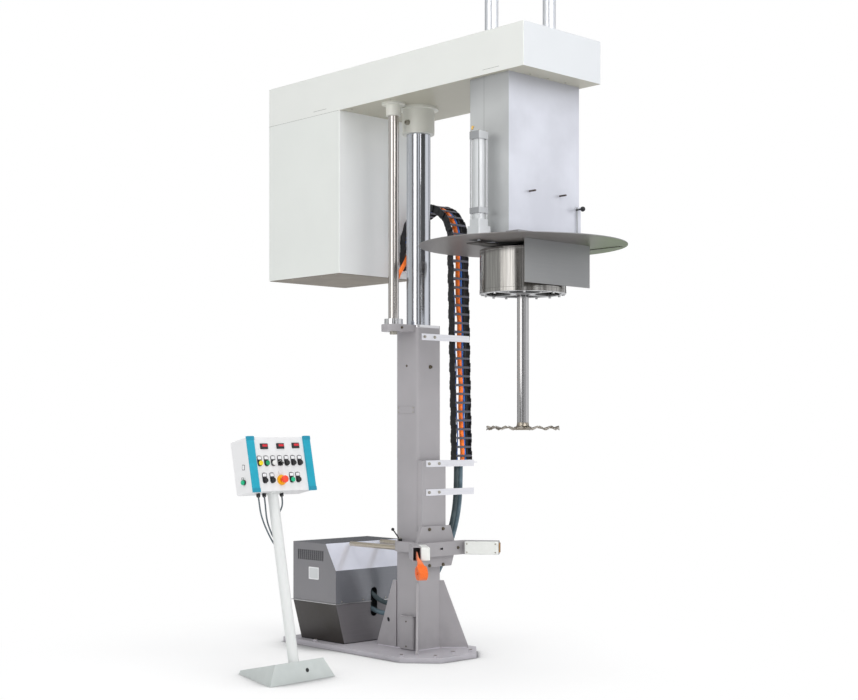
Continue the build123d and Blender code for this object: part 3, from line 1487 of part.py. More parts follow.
# Emergency stop: mushroom head on its stem
with BuildPart() as estop_button:
    with BuildSketch(panel_plane.offset(-panel_wall - button_inside)):
        with Locations((estop_place, row_two)):
            Circle(button_stem / 2)
    extrude(amount=panel_wall + button_inside + estop_out - estop_head_height + 2)
    with BuildSketch(panel_plane.offset(estop_out - estop_head_height)):
        with Locations((estop_place, row_two)):
            Circle(estop_head / 2)
    extrude(amount=estop_head_height)
    fillet(estop_button.edges().filter_by(GeomType.CIRCLE).sort_by(panel_axis)[-1], estop_edge)
estop_button.part.label = "estop_button"
export_step(estop_button.part, "parts/estop_button.step")

# Panel cables from the glands into the back of the post
gland_ends = [panel_plane.from_local_coords(Vector(x, -gland_length, -panel_depth / 2)) for x in gland_places]
cable_names = ["panel_cable_left", "panel_cable_middle", "panel_cable_right"]
cable_routes = [
    [tuple(gland_ends[0]), (-1315, -106, 979), (-1312, -113, 930), (-1294, -112, 882), (-1268, -107, 836),
     (-1240, -103, 792), (-1218, -109, 752), (-1206, -132, 722)],
    [tuple(gland_ends[1]), (-1274, -106, 979), (-1272, -109, 938), (-1260, -100, 897), (-1242, -91, 858),
     (-1223, -88, 820), (-1210, -97, 784), (-1206, -125, 758)],
    [tuple(gland_ends[2]), (-1151, -106, 979), (-1152, -98, 948), (-1160, -84, 920), (-1174, -74, 896),
     (-1190, -77, 873), (-1201, -95, 855), (-1205, -119, 848)]]
for name, points in zip(cable_names, cable_routes):
    cable = build_cord(points, panel_cable, name)
    cable.label = name
    export_step(cable, f"parts/{name}.step")
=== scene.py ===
import logging
import math
from dataclasses import dataclass
from enum import Enum
from typing import Optional, Sequence, Union

import bmesh
import bpy
from mathutils import Matrix, Vector


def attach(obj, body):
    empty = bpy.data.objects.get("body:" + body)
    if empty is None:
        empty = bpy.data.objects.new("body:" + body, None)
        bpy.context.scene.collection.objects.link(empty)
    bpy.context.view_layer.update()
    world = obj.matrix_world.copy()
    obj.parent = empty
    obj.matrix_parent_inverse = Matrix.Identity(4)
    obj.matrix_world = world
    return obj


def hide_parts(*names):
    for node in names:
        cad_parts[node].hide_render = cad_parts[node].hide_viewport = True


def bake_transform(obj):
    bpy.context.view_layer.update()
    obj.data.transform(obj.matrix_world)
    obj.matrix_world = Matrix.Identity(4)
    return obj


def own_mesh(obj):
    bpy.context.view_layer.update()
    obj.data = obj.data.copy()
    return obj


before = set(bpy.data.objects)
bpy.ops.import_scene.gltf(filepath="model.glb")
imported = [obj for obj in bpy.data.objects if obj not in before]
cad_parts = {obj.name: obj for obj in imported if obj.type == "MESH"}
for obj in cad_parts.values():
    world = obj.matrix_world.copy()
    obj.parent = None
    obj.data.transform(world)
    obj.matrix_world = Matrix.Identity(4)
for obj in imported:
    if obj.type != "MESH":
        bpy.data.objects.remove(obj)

log = logging.getLogger("basket_mill")
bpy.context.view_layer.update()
CRISP_ANGLE = math.radians(32)
BEVEL_ANGLE = math.radians(40)
UP = Vector((0, 0, 1))
DOWN = Vector((0, 0, -1))
Point = Sequence[float]
Colour = tuple[float, float, float]
Profile = tuple[tuple[float, float], ...]
Slab = tuple[float, float, float, float, float]


def tone(red: int, green: int, blue: int) -> Colour:
    """Turn an 8-bit display colour into linear light.

    Args:
        red: Red, 0 to 255.
        green: Green, 0 to 255.
        blue: Blue, 0 to 255.

    Returns:
        The three linear values.
    """
    def linear(value: int) -> float:
        """Return one channel in linear light."""
        share = value / 255
        return share / 12.92 if share <= 0.04045 else ((share + 0.055) / 1.055) ** 2.4
    return linear(red), linear(green), linear(blue)


def shaded(colour: Colour, factor: float, lift: float = 0.0, most: float = math.inf) -> Colour:
    """Return a colour changed by a factor and a lift, up to a most."""
    return tuple(min(most, part * factor + lift) for part in colour)


def axes_at(place: Point, x: Point, y: Point, z: Point) -> Matrix:
    """Return the matrix of a place whose own axes point along x, y and z."""
    return Matrix([Vector((*axis, 0)) for axis in (x, y, z)] + [Vector((*place, 1))]).transposed()


def on_left(place: Point) -> Matrix:
    """Return the matrix of a drawing on a face that looks left."""
    return axes_at(place, (0, -1, 0), UP, (-1, 0, 0))


def flat_at(place: Point, degrees: float = 0.0) -> Matrix:
    """Return the matrix of a place on a drawing, turned about its own axis."""
    return Matrix.Translation((*place, 0)) @ around(degrees, "Z")


def around(degrees: float, axis: str) -> Matrix:
    """Return a turn about the axis X, Y or Z."""
    return Matrix.Rotation(math.radians(degrees), 4, axis)


class Along(Enum):
    """Direction in which a sheet or bar was brushed or drawn."""

    X = (4.0, 260.0, 260.0)
    Y = (260.0, 4.0, 260.0)
    Z = (260.0, 260.0, 4.0)


class Head(Enum):
    """Form of a screw's head: its sides, and its height as a share of its width."""

    HEXAGON = (6, 0.45)
    PAN = (20, 0.30)
    SOCKET = (24, 0.60)


class Field:
    """One number that varies over a surface; its operators add Math nodes."""

    def __init__(self, shader: "Shader", socket: bpy.types.NodeSocket) -> None:
        """Keep the shader and the socket that gives the number."""
        self.shader = shader
        self.socket = socket

    def _math(self, operation: str, first: "Number", second: "Number" = 0.0) -> "Field":
        """Add one Math node.

        Args:
            operation: The node's operation.
            first: Its first value or field.
            second: Its second value or field.

        Returns:
            The field that it gives.
        """
        node = self.shader.node("ShaderNodeMath", {"operation": operation}, {0: first, 1: second})
        return Field(self.shader, node.outputs[0])

    def __add__(self, other: "Number") -> "Field":
        """Return this plus the other."""
        return self._math("ADD", self, other)

    __radd__ = __add__

    def __sub__(self, other: "Number") -> "Field":
        """Return this less the other."""
        return self._math("SUBTRACT", self, other)

    def __rsub__(self, other: "Number") -> "Field":
        """Return the other less this."""
        return self._math("SUBTRACT", other, self)

    def __mul__(self, other: "Number") -> "Field":
        """Return this times the other."""
        return self._math("MULTIPLY", self, other)

    __rmul__ = __mul__

    def __pow__(self, other: "Number") -> "Field":
        """Return this to the power of the other."""
        return self._math("POWER", self, other)

    def __rpow__(self, other: "Number") -> "Field":
        """Return the other to the power of this."""
        return self._math("POWER", other, self)

    def __abs__(self) -> "Field":
        """Return this without its sign."""
        return self._math("ABSOLUTE", self)

    def __gt__(self, other: "Number") -> "Field":
        """Return 1 where this is more than the other, else 0."""
        return self._math("GREATER_THAN", self, other)

    def __lt__(self, other: "Number") -> "Field":
        """Return 1 where this is less than the other, else 0."""
        return self._math("LESS_THAN", self, other)

    def sine(self) -> "Field":
        """Return the sine of this."""
        return self._math("SINE", self)

    def ramp(self, low: float, high: float) -> "Field":
        """Spread this from 0 at low to 1 at high, smoothly.

        Args:
            low: The value that gives 0.
            high: The value that gives 1.

        Returns:
            The spread field.
        """
        node = self.shader.node("ShaderNodeMapRange", {"interpolation_type": "SMOOTHSTEP"},
                                {"Value": self, "From Min": low, "From Max": high})
        return Field(self.shader, node.outputs["Result"])


Number = Union[Field, float, int]
Link = Union[Field, bpy.types.NodeSocket, float, int, Sequence[float]]


class Shader:
    """A node tree being built for a material or the world."""

    def __init__(self, name: str, tree: Optional[bpy.types.NodeTree] = None) -> None:
        """Start a material with a principled surface, or work in a given tree.

        Args:
            name: The material's name.
            tree: A world's tree, where there is no material.
        """
        self.material: Optional[bpy.types.Material] = None
        if tree is None:
            self.material = bpy.data.materials.new(name)
            self.material.use_nodes = True
            tree = self.material.node_tree
        self.tree = tree
        tree.nodes.clear()
        if self.material is not None:
            self.surface = self.node("ShaderNodeBsdfPrincipled")
            self.output = self.node("ShaderNodeOutputMaterial", {}, {"Surface": self.surface.outputs[0]})
        else:
            self.output = self.node("ShaderNodeOutputWorld")

    def node(self, kind: str, settings: Optional[dict] = None,
             sockets: Optional[dict] = None) -> bpy.types.Node:
        """Add any node.

        Args:
            kind: The node's type.
            settings: Attributes that are set first.
            sockets: Values or links of its inputs, by name or number.

        Returns:
            The node.
        """
        made = self.tree.nodes.new(kind)
        for name, value in (settings or {}).items():
            setattr(made, name, value)
        for name, value in (sockets or {}).items():
            self.feed(made.inputs[name], value)
        return made

    def feed(self, socket: bpy.types.NodeSocket, value: Link) -> None:
        """Link or set one input.

        Args:
            socket: The input.
            value: A field, a socket, a number or a colour.
        """
        if isinstance(value, Field):
            self.tree.links.new(value.socket, socket)
        elif isinstance(value, bpy.types.NodeSocket):
            self.tree.links.new(value, socket)
        elif isinstance(value, (int, float)):
            socket.default_value = value
        else:
            socket.default_value = (*value, 1) if len(value) < len(socket.default_value) else tuple(value)

    def set(self, **sockets: Link) -> None:
        """Feed the surface's inputs, named with underscores for spaces."""
        for name, value in sockets.items():
            self.feed(self.surface.inputs[name.replace("_", " ")], value)

    def place(self) -> bpy.types.NodeSocket:
        """Return the place on the piece, in metres."""
        return self.node("ShaderNodeTexCoord").outputs["Object"]

    def parts(self, vector: bpy.types.NodeSocket) -> tuple[Field, Field, Field]:
        """Return the three parts of a vector."""
        split = self.node("ShaderNodeSeparateXYZ", {}, {0: vector})
        return Field(self, split.outputs[0]), Field(self, split.outputs[1]), Field(self, split.outputs[2])

    def axes(self) -> tuple[Field, Field, Field]:
        """Return the three coordinates of the place on the piece."""
        return self.parts(self.place())

    def facing(self) -> tuple[Field, Field, Field]:
        """Return the three parts of the surface's own direction."""
        return self.parts(self.node("ShaderNodeTexCoord").outputs["Normal"])

    def noise(self, scale: float, detail: float = 2.0, stretch: Point = (1, 1, 1)) -> Field:
        """Add noise in the piece's own space.

        Args:
            scale: Cells to the metre.
            detail: Octaves.
            stretch: Factor on each axis, so that grain can run along one.

        Returns:
            The field, about 0 to 1.
        """
        spot = self.node("ShaderNodeVectorMath", {"operation": "MULTIPLY"},
                         {0: self.place(), 1: tuple(stretch)})
        made = self.node("ShaderNodeTexNoise", {},
                         {"Vector": spot.outputs[0], "Scale": scale, "Detail": detail})
        return Field(self, made.outputs[0])

    def cells(self, scale: float) -> Field:
        """Return the distance to the nearest of many scattered points."""
        made = self.node("ShaderNodeTexVoronoi", {}, {"Vector": self.place(), "Scale": scale})
        return Field(self, made.outputs["Distance"])

    def blend(self, share: Number, first: Link, second: Link) -> bpy.types.NodeSocket:
        """Mix two colours.

        Args:
            share: 0 for the first, 1 for the second.
            first: A colour or link.
            second: A colour or link.

        Returns:
            The mixed colour's socket.
        """
        made = self.node("ShaderNodeMix", {"data_type": "RGBA", "clamp_factor": True},
                         {0: share, 6: first, 7: second})
        return made.outputs[2]

    def cover(self, share: Link, under: bpy.types.NodeSocket, over: bpy.types.NodeSocket) -> None:
        """Show one surface over another and give the result out.

        Args:
            share: 0 for the lower, 1 for the upper.
            under: The lower surface.
            over: The upper surface.
        """
        mixed = self.node("ShaderNodeMixShader", {}, {0: share, 1: under, 2: over})
        self.feed(self.output.inputs["Surface"], mixed.outputs[0])

    def bump(self, height: Field, depth: float, strength: float = 0.5) -> None:
        """Raise the surface by a field.

        Args:
            height: The field.
            depth: Its height in metres.
            strength: How much of it shows.
        """
        made = self.node("ShaderNodeBump", {}, {"Strength": strength, "Distance": depth, "Height": height})
        self.set(Normal=made.outputs[0])


@dataclass(frozen=True)
class PowderCoat:
    """Baked powder paint with orange peel, faint mottling and dust near the floor."""

    name: str
    colour: Colour
    roughness: float = 0.42
    peel: float = 0.0005
    mottle: float = 0.07
    dust: float = 0.0
    dust_height: float = 0.30
    bare: Optional[tuple[float, Colour]] = None

    def build(self) -> bpy.types.Material:
        """Build the paint's nodes.

        Returns:
            The material.
        """
        shader = Shader(self.name)
        broad, fine = shader.noise(2.2, 3), shader.noise(170, 2)
        base = shader.blend(broad.ramp(0.3, 0.7), shaded(self.colour, 1 - self.mottle),
                            shaded(self.colour, 1 + self.mottle, most=0.9))
        if self.dust:
            _, _, height = shader.axes()
            low = (1 - height.ramp(0.02, self.dust_height)) * shader.noise(14, 4).ramp(0.35, 0.7)
            base = shader.blend(low * self.dust, base, shaded(self.colour, 0.72))
        if self.bare:
            limit, steel = self.bare
            _, depth, _ = shader.axes()
            metal = depth > limit
            base = shader.blend(metal, base, shader.blend(fine.ramp(0.3, 0.7), steel, shaded(steel, 0.86)))
            shader.set(Metallic=metal * 0.8)
        speck = shader.noise(900, 1).ramp(0.35, 0.65)
        base = shader.blend(speck * 0.10, base, shaded(self.colour, 0.8))
        shader.set(Base_Color=base, Specular_IOR_Level=0.45,
                   Roughness=self.roughness + 0.10 * (broad - 0.5) + 0.06 * (fine - 0.5))
        shader.bump(fine + 0.35 * speck, self.peel, 0.35)
        return shader.material


@dataclass(frozen=True)
class BrushedSteel:
    """Stainless sheet or bar with a directional grain and smudges."""

    name: str
    colour: Colour
    roughness: float = 0.30
    grain: Along = Along.Z
    contrast: float = 0.10
    most_relief: float = 0.12

    def build(self) -> bpy.types.Material:
        """Build the steel's nodes.

        Returns:
            The material.
        """
        shader = Shader(self.name)
        hair = shader.noise(1.0, 3, self.grain.value)
        coarse = shader.noise(0.25, 2, self.grain.value)
        smudge = shader.noise(5, 4)
        relief = min(self.most_relief, self.contrast)
        base = shader.blend((0.6 * hair + 0.4 * coarse).ramp(0.3, 0.7), shaded(self.colour, 1 - self.contrast),
                            shaded(self.colour, 1 + self.contrast, most=0.96))
        base = shader.blend(smudge.ramp(0.45, 0.75) * 0.25, base, shaded(self.colour, 0.86))
        shader.set(Base_Color=base, Metallic=1.0, Anisotropic=0.35,
                   Roughness=self.roughness + relief * (hair - 0.5) + 0.08 * (smudge - 0.5))
        shader.bump(hair, 0.0001, relief)
        return shader.material


@dataclass(frozen=True)
class Casting:
    """Cast metal with a rough painted or blasted skin."""

    name: str
    colour: Colour
    metallic: float = 0.0
    roughness: float = 0.55

    def build(self) -> bpy.types.Material:
        """Build the casting's nodes.

        Returns:
            The material.
        """
        shader = Shader(self.name)
        cloud = shader.noise(9, 4)
        base = shader.blend(cloud.ramp(0.3, 0.7), shaded(self.colour, 0.85),
                            shaded(self.colour, 1.12, most=0.9))
        shader.set(Base_Color=base, Metallic=self.metallic, Roughness=self.roughness + 0.12 * (cloud - 0.5))
        shader.bump(shader.cells(160), 0.0006, 0.35)
        return shader.material


@dataclass(frozen=True)
class Moulded:
    """Moulded plastic with a fine spark-eroded skin."""

    name: str
    colour: Colour
    roughness: float = 0.38
    skin: float = 0.0002
    glow: float = 0.0

    def build(self) -> bpy.types.Material:
        """Build the plastic's nodes.

        Returns:
            The material.
        """
        shader = Shader(self.name)
        wear = shader.noise(30, 4)
        base = shader.blend(wear.ramp(0.5, 0.8) * 0.35, self.colour, shaded(self.colour, 1.25, 0.006, 0.92))
        shader.set(Base_Color=base, Roughness=self.roughness + 0.12 * (wear - 0.5))
        if self.glow:
            shader.set(Emission_Color=self.colour, Emission_Strength=self.glow)
        shader.bump(shader.noise(1400, 2), self.skin, 0.4)
        return shader.material


@dataclass(frozen=True)
class Rubber:
    """Matt hose or cable cover with a wrapped-cloth print and bloom."""

    name: str
    colour: Colour
    wrap: float = 0.0
    roughness: float = 0.62

    def build(self) -> bpy.types.Material:
        """Build the cover's nodes.

        Returns:
            The material.
        """
        shader = Shader(self.name)
        bloom = shader.noise(18, 4)
        base = shader.blend(bloom.ramp(0.35, 0.75), self.colour, shaded(self.colour, 1.5, 0.01))
        shader.set(Base_Color=base, Roughness=self.roughness + 0.14 * (bloom - 0.5))
        height = shader.noise(500, 2)
        if self.wrap:
            across, along, up = shader.axes()
            height = height * 0.3 + ((across + along + up) * (2 * math.pi / self.wrap)).sine() * 0.5
        shader.bump(height, 0.0004, 0.4)
        return shader.material


@dataclass(frozen=True)
class Webbing:
    """Woven polyester strap with ribs across it, paler above the roll."""

    name: str
    colour: Colour
    paler_tone: Colour
    # Heights over which the strap turns paler.
    fade: tuple[float, float] = (0.592, 0.612)

    def build(self) -> bpy.types.Material:
        """Build the weave's nodes.

        Returns:
            The material.
        """
        shader = Shader(self.name)
        across, along, up = shader.axes()
        rib = ((across - along) * 2600).sine() * ((up + across) * 1900).sine()
        pale = shader.noise(16, 3).ramp(0.35, 0.7)
        base = shader.blend(pale * 0.12 + up.ramp(*self.fade) * 0.80, self.colour, self.paler_tone)
        base = shader.blend(rib.ramp(-0.2, -0.9) * 0.4, base, shaded(self.colour, 0.6))
        shader.set(Base_Color=base, Sheen_Weight=0.25, Roughness=0.72 + 0.15 * (pale - 0.5))
        shader.bump(rib, 0.0005, 0.6)
        return shader.material


@dataclass(frozen=True)
class FacedSheet:
    """Ground sheet whose colour is painted lighter or darker face by face: painted light, shade and reflection
    of the room on bare folded steel.

    Seams are places along y of dark joints; painted shades are level, reach and share of darker bands of
    painted shade.
    The painted reflection lies on the underside, towards the side that is right of its middle.
    """

    name: str
    left: Colour
    front: Colour
    top: Colour
    slope: Colour
    back: Colour
    metallic: float = 0.45
    roughness: float = 0.36
    grain: Along = Along.X
    cloud: float = 0.07
    painted_reflection: Optional[Colour] = None
    seams: tuple[float, ...] = ()
    painted_shades: tuple[tuple[float, float, float], ...] = ()
    under: Optional[Colour] = None
    cloud_tone: Colour = tone(110, 110, 116)
    hair_tone: Colour = tone(248, 248, 252)
    shade_tone: Colour = tone(96, 96, 100)
    reflection_way: tuple[float, float] = (0.724, -0.690)
    reflection_middle: float = -0.885
    seam_width: tuple[float, float] = (0.0006, 0.0022)

    def build(self) -> bpy.types.Material:
        """Build the sheet's nodes.

        Returns:
            The material.
        """
        shader = Shader(self.name)
        across, ahead, up = shader.facing()
        x, y, z = shader.axes()
        hair, broad = shader.noise(1.0, 3, self.grain.value), shader.noise(3.2, 4)
        # Lit and shaded tones, one for each way a face looks: painted light and shade.
        base = shader.blend((0 - across).ramp(0.80, 0.93), self.back, self.left)
        base = shader.blend((0 - ahead).ramp(0.70, 0.93), base, self.front)
        base = shader.blend(up.ramp(0.30, 0.45), base, self.slope)
        base = shader.blend(up.ramp(0.80, 0.95), base, self.top)
        # Painted shade on the underside.
        if self.under:
            base = shader.blend((0 - up).ramp(0.7, 0.95), base, self.under)
        # Painted reflection on the underside, towards the right.
        if self.painted_reflection:
            right = (x * self.reflection_way[0] + (y - self.reflection_middle) * self.reflection_way[1]).ramp(0.24, 0.50)
            base = shader.blend(right * (0 - up).ramp(0.7, 0.95), base, self.painted_reflection)
        height = hair
        for seam in self.seams:
            line = 1 - abs(y - seam).ramp(*self.seam_width)
            base = shader.blend(line * 0.6, base, shaded(self.left, 0.25))
            height = height - line * 3.0
        base = shader.blend(broad.ramp(0.30, 0.70) * self.cloud * 2, base, self.cloud_tone)
        base = shader.blend(hair.ramp(0.50, 0.85) * self.cloud * 0.5, base, self.hair_tone)
        # Bands of painted shade at given heights.
        for level, reach, share in self.painted_shades:
            base = shader.blend((1 - abs(z - level).ramp(0.0, reach)) * share, base, self.shade_tone)
        shader.set(Base_Color=base, Metallic=self.metallic,
                   Roughness=self.roughness + 0.05 * (hair - 0.5) + 0.10 * (broad - 0.5))
        shader.bump(height, 0.0001, 0.08)
        return shader.material


@dataclass(frozen=True)
class PartPainted:
    """Ground bar that is painted above or below a limit, or darkened there with painted shade."""

    name: str
    bar: Colour
    coat_and_shade: Colour
    limit: float
    above: bool = True
    roughness: float = 0.14
    edge: float = 0.0005

    def build(self) -> bpy.types.Material:
        """Build the bar's nodes.

        Returns:
            The material.
        """
        shader = Shader(self.name)
        _, _, height = shader.axes()
        # Covered part: real paint on the ram and guide, painted shade on the lift rods.
        coat_and_shade_mask = height.ramp(self.limit - self.edge, self.limit + self.edge)
        if not self.above:
            coat_and_shade_mask = 1 - coat_and_shade_mask
        hair = shader.noise(1.0, 3, (300.0, 300.0, 300.0))
        rings = shader.noise(1.0, 2, (2.0, 2.0, 900.0))
        smudge = shader.noise(6, 4)
        base = shader.blend(rings.ramp(0.35, 0.7) * 0.10, self.bar, shaded(self.bar, 0.75))
        base = shader.blend(smudge.ramp(0.5, 0.8) * 0.18, base, shaded(self.bar, 0.8))
        coat_and_shade = shader.blend(smudge.ramp(0.3, 0.7), shaded(self.coat_and_shade, 0.97), self.coat_and_shade)
        shader.set(Base_Color=shader.blend(coat_and_shade_mask, base, coat_and_shade), Metallic=1 - coat_and_shade_mask * 0.97,
                   Roughness=self.roughness + coat_and_shade_mask * 0.28 + 0.05 * (smudge - 0.5))
        shader.bump(hair * coat_and_shade_mask * 0.6, 0.0002, 0.10)
        return shader.material


@dataclass(frozen=True)
class FloorPaper:
    """Pale paper that keeps the contact shadow and fades to white for the camera."""

    name: str = "floor_paper"
    middle: tuple[float, float] = (-0.35, 0.1)
    fade: tuple[float, float] = (0.8, 2.4)
    shadow_reach: float = 0.30
    shadow: Colour = (0.16, 0.16, 0.17)
    tones: tuple[Colour, Colour] = ((0.90, 0.90, 0.90), (0.94, 0.94, 0.94))

    def build(self) -> bpy.types.Material:
        """Build the paper's nodes.

        Returns:
            The material.
        """
        shader = Shader(self.name)
        across, along, _ = shader.axes()
        far = ((across - self.middle[0]) ** 2 + (along - self.middle[1]) ** 2) ** 0.5
        near = shader.node("ShaderNodeAmbientOcclusion", {"samples": 8}, {"Distance": self.shadow_reach})
        clear = Field(shader, near.outputs["AO"]).ramp(0.56, 0.99)
        paper = shader.blend(shader.noise(60, 2), *self.tones)
        shader.set(Base_Color=shader.blend(clear, self.shadow, paper), Roughness=0.9)
        glow = shader.node("ShaderNodeEmission", {}, {"Color": (1, 1, 1), "Strength": 1.0})
        seen = Field(shader, shader.node("ShaderNodeLightPath").outputs["Is Camera Ray"])
        share = (far.ramp(*self.fade) * 0.75 + 0.25) * seen * (clear * 0.8 + 0.2)
        shader.cover(share, shader.surface.outputs[0], glow.outputs[0])
        return shader.material


Finish = Union[PowderCoat, BrushedSteel, Casting, Moulded, Rubber, Webbing, FacedSheet, PartPainted, FloorPaper]


class Paints:
    """The finishes of this machine, each built once."""

    column = PowderCoat("column_grey", tone(168, 165, 168), dust=0.35)
    # Beam and motor box: the lighter front of the box is painted light; the darker tones under both are painted
    # shade.
    beam = FacedSheet("beam_off_white", tone(229, 231, 227), tone(220, 223, 226), tone(231, 233, 230),
                      tone(229, 231, 227), tone(227, 229, 225), 0.0, cloud=0.012, under=tone(182, 179, 164))
    box = FacedSheet("box_off_white", tone(227, 230, 226), tone(244, 246, 246), tone(229, 231, 227),
                     tone(229, 231, 227), tone(227, 229, 225), 0.0, cloud=0.012, under=tone(150, 142, 130))
    plate = PowderCoat("base_plate_grey", tone(190, 187, 193), dust=0.15)
    yoke = PowderCoat("yoke_grey", tone(168, 165, 168), bare=(0.04, tone(206, 196, 178)))
    # Air cylinder caps: face tones painted light and shade.
    air_cap = FacedSheet("air_cap_metal", tone(160, 162, 164), tone(206, 208, 210), tone(190, 190, 192),
                         tone(190, 190, 192), tone(150, 150, 152), 0.25)
    # The foot is greyer than the post though both are painted alike: painted shade.
    pedestal = PowderCoat("pedestal_white", tone(200, 206, 204), mottle=0.04, dust=0.2)
    post = PowderCoat("post_white", tone(222, 224, 223), mottle=0.03)
    panel = PowderCoat("panel_grey_paint", tone(229, 229, 230), roughness=0.45, mottle=0.03)
    weld = PowderCoat("weld_paint", tone(196, 192, 200))
    joint = PowderCoat("joint_shade", tone(150, 150, 146))
    # Tray: face tones, down to its near-black left side, painted light and shade.
    tray = FacedSheet("tray_dark_sheet", tone(50, 45, 40), tone(126, 123, 126), tone(90, 90, 92),
                      tone(100, 98, 96), tone(96, 94, 92), 0.30)
    # Hood: face tones painted light and shade; the bright slope is a painted reflection.
    hood = FacedSheet("hood_sheet", tone(132, 131, 134), tone(132, 134, 140), tone(104, 109, 120),
                      tone(236, 238, 250), tone(130, 130, 134), 0.42, 0.22)
    # Mill housing: face tones painted light and shade; bands of painted shade under the beam at 3.395 and by
    # the lid at 2.459.
    housing = FacedSheet("housing_brushed", tone(206, 208, 208), tone(226, 228, 237), tone(205, 207, 212),
                         tone(210, 212, 220), tone(128, 128, 126), grain=Along.Z, cloud=0.08,
                         seams=(-0.8626,), painted_shades=((3.395, 0.22, 0.38), (2.459, 0.12, 0.25)))
    # Lid and hatch: face tones painted light and shade; the green tone under them is a painted reflection; the
    # band at 2.502 is painted shade on the hatch handle.
    lid = FacedSheet("lid_satin", tone(140, 138, 136), tone(146, 147, 148), tone(206, 208, 214),
                     tone(190, 192, 196), tone(112, 107, 104), 0.35, 0.40, painted_reflection=tone(74, 94, 34),
                     painted_shades=((2.502, 0.038, 1.0),))
    # Air cylinder and blank plate field: face tones painted light and shade.
    anodised = FacedSheet("air_anodised", tone(208, 211, 212), tone(224, 226, 228), tone(220, 221, 222),
                          tone(222, 224, 226), tone(224, 226, 228), 0.25, grain=Along.Z, cloud=0.05)
    # Basket: its high contrast paints vertical streaks, partly grain and partly painted reflection.
    drum = BrushedSteel("basket_steel", tone(158, 156, 153), 0.15, contrast=0.30)
    # Housing pins: darker than bare steel, in part painted shade of their sides.
    pin = BrushedSteel("stub_steel", tone(96, 88, 84), 0.28, Along.Y)
    satin = BrushedSteel("satin_steel", tone(205, 205, 206), 0.30, Along.X, 0.08)
    turned = BrushedSteel("turned_bar", tone(214, 214, 216), 0.20, Along.X, 0.07)
    chrome = BrushedSteel("ground_chrome", tone(190, 189, 190), 0.12, contrast=0.04)
    tubes = BrushedSteel("drawn_tube", tone(204, 196, 182), 0.34, Along.Y, 0.08)
    zinc = BrushedSteel("zinc_fastener", tone(176, 172, 162), 0.40, Along.X, 0.12)
    bronze = BrushedSteel("bronze_nose", tone(176, 136, 92), 0.34, Along.X)
    brass = BrushedSteel("brass_fitting", tone(205, 170, 100), 0.30, Along.X)
    strip = BrushedSteel("strip_aluminium_sheet", tone(242, 242, 248), 0.42, Along.X, 0.04)
    disc = BrushedSteel("disc_sheet", tone(168, 160, 148), 0.30, Along.Y, 0.14)
    ram = PartPainted("ram_chrome", tone(204, 207, 214), tone(224, 224, 216), 3.2285)
    guide = PartPainted("guide_chrome", tone(200, 195, 192), tone(224, 224, 216), 3.3155)
    # Lift rods: their dark tone below 2.450 is painted shade in the gap between basket and lid.
    carrier = PartPainted("lift_rod_chrome", tone(240, 243, 248), tone(74, 72, 70), 2.450, False, 0.36)
    # Floor of the motor box: grey-beige, darker than the box's paint: painted shade of the underside.
    box_floor = Casting("box_floor_sheet", tone(124, 116, 104))
    brown = Casting("foot_fastener", tone(92, 84, 68), 0.3, 0.45)
    iron = Casting("machine_casting", tone(120, 124, 128))
    tank = Casting("tank_paint", tone(96, 100, 104))
    chain = Moulded("chain_polyamide", tone(30, 30, 33), 0.46, 0.0003)
    chain_bar = Moulded("chain_bar_polyamide", tone(86, 86, 98), 0.40, 0.0003)
    backing = Moulded("label_backing", tone(38, 36, 44), 0.36)
    slot = Moulded("vent_shadow", tone(16, 16, 22), 0.80)
    fitting = Moulded("fitting_plastic", tone(30, 30, 32), 0.32)
    teal = Moulded("strip_teal_plastic", tone(0, 158, 184), 0.50, 0.0001)
    teal_cap = Moulded("strip_teal_cap", tone(8, 140, 168), 0.36, 0.0001)
    yellow = Moulded("cap_yellow", tone(232, 206, 20), 0.30)
    disc_yellow = Moulded("stop_disc_yellow", tone(255, 184, 10), 0.40)
    green = Moulded("cap_green", tone(0, 146, 96), 0.28)
    bright_green = Moulded("cap_bright_green", tone(0, 182, 130), 0.28)
    white = Moulded("cap_white", tone(228, 228, 226), 0.30)
    black = Moulded("cap_black", tone(26, 26, 28), 0.28)
    red = Moulded("stop_red_plastic", tone(240, 70, 42), 0.30)
    window = Moulded("display_window", tone(196, 30, 44), 0.18, glow=0.15)
    pad = Moulded("pad_plastic", tone(232, 234, 230), 0.50, 0.0004)
    label = Moulded("blank_label", tone(232, 232, 234), 0.44)
    cable = Rubber("panel_cable_cover", tone(82, 92, 98))
    hose_dark = Rubber("hose_dark_cover", tone(62, 76, 80), wrap=0.011)
    hose_light = Rubber("hose_blue_cover", tone(92, 112, 122), wrap=0.011)
    belt = Rubber("belt_cover", tone(34, 34, 34))
    orange = Rubber("cable_orange_cover", tone(255, 122, 30), roughness=0.45)
    blue = Rubber("cable_blue_cover", tone(40, 110, 200), roughness=0.45)
    strap = Webbing("strap_webbing", tone(255, 112, 8), tone(250, 142, 96))

    _built: dict[str, bpy.types.Material] = {}

    @classmethod
    def get(cls, finish: Finish) -> bpy.types.Material:
        """Build a finish on its first use.

        Args:
            finish: The finish.

        Returns:
            Its material.
        """
        if finish.name not in cls._built:
            cls._built[finish.name] = finish.build()
        return cls._built[finish.name]


def dress(finish: Finish, *nodes: str) -> None:
    """Give CAD nodes a finish.

    Args:
        finish: One of the finishes.
        nodes: The nodes' names.
    """
    for node in nodes:
        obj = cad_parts[node]
        obj.data.materials.clear()
        obj.data.materials.append(Paints.get(finish))
        log.info("dressed %s in %s", node, finish.name)


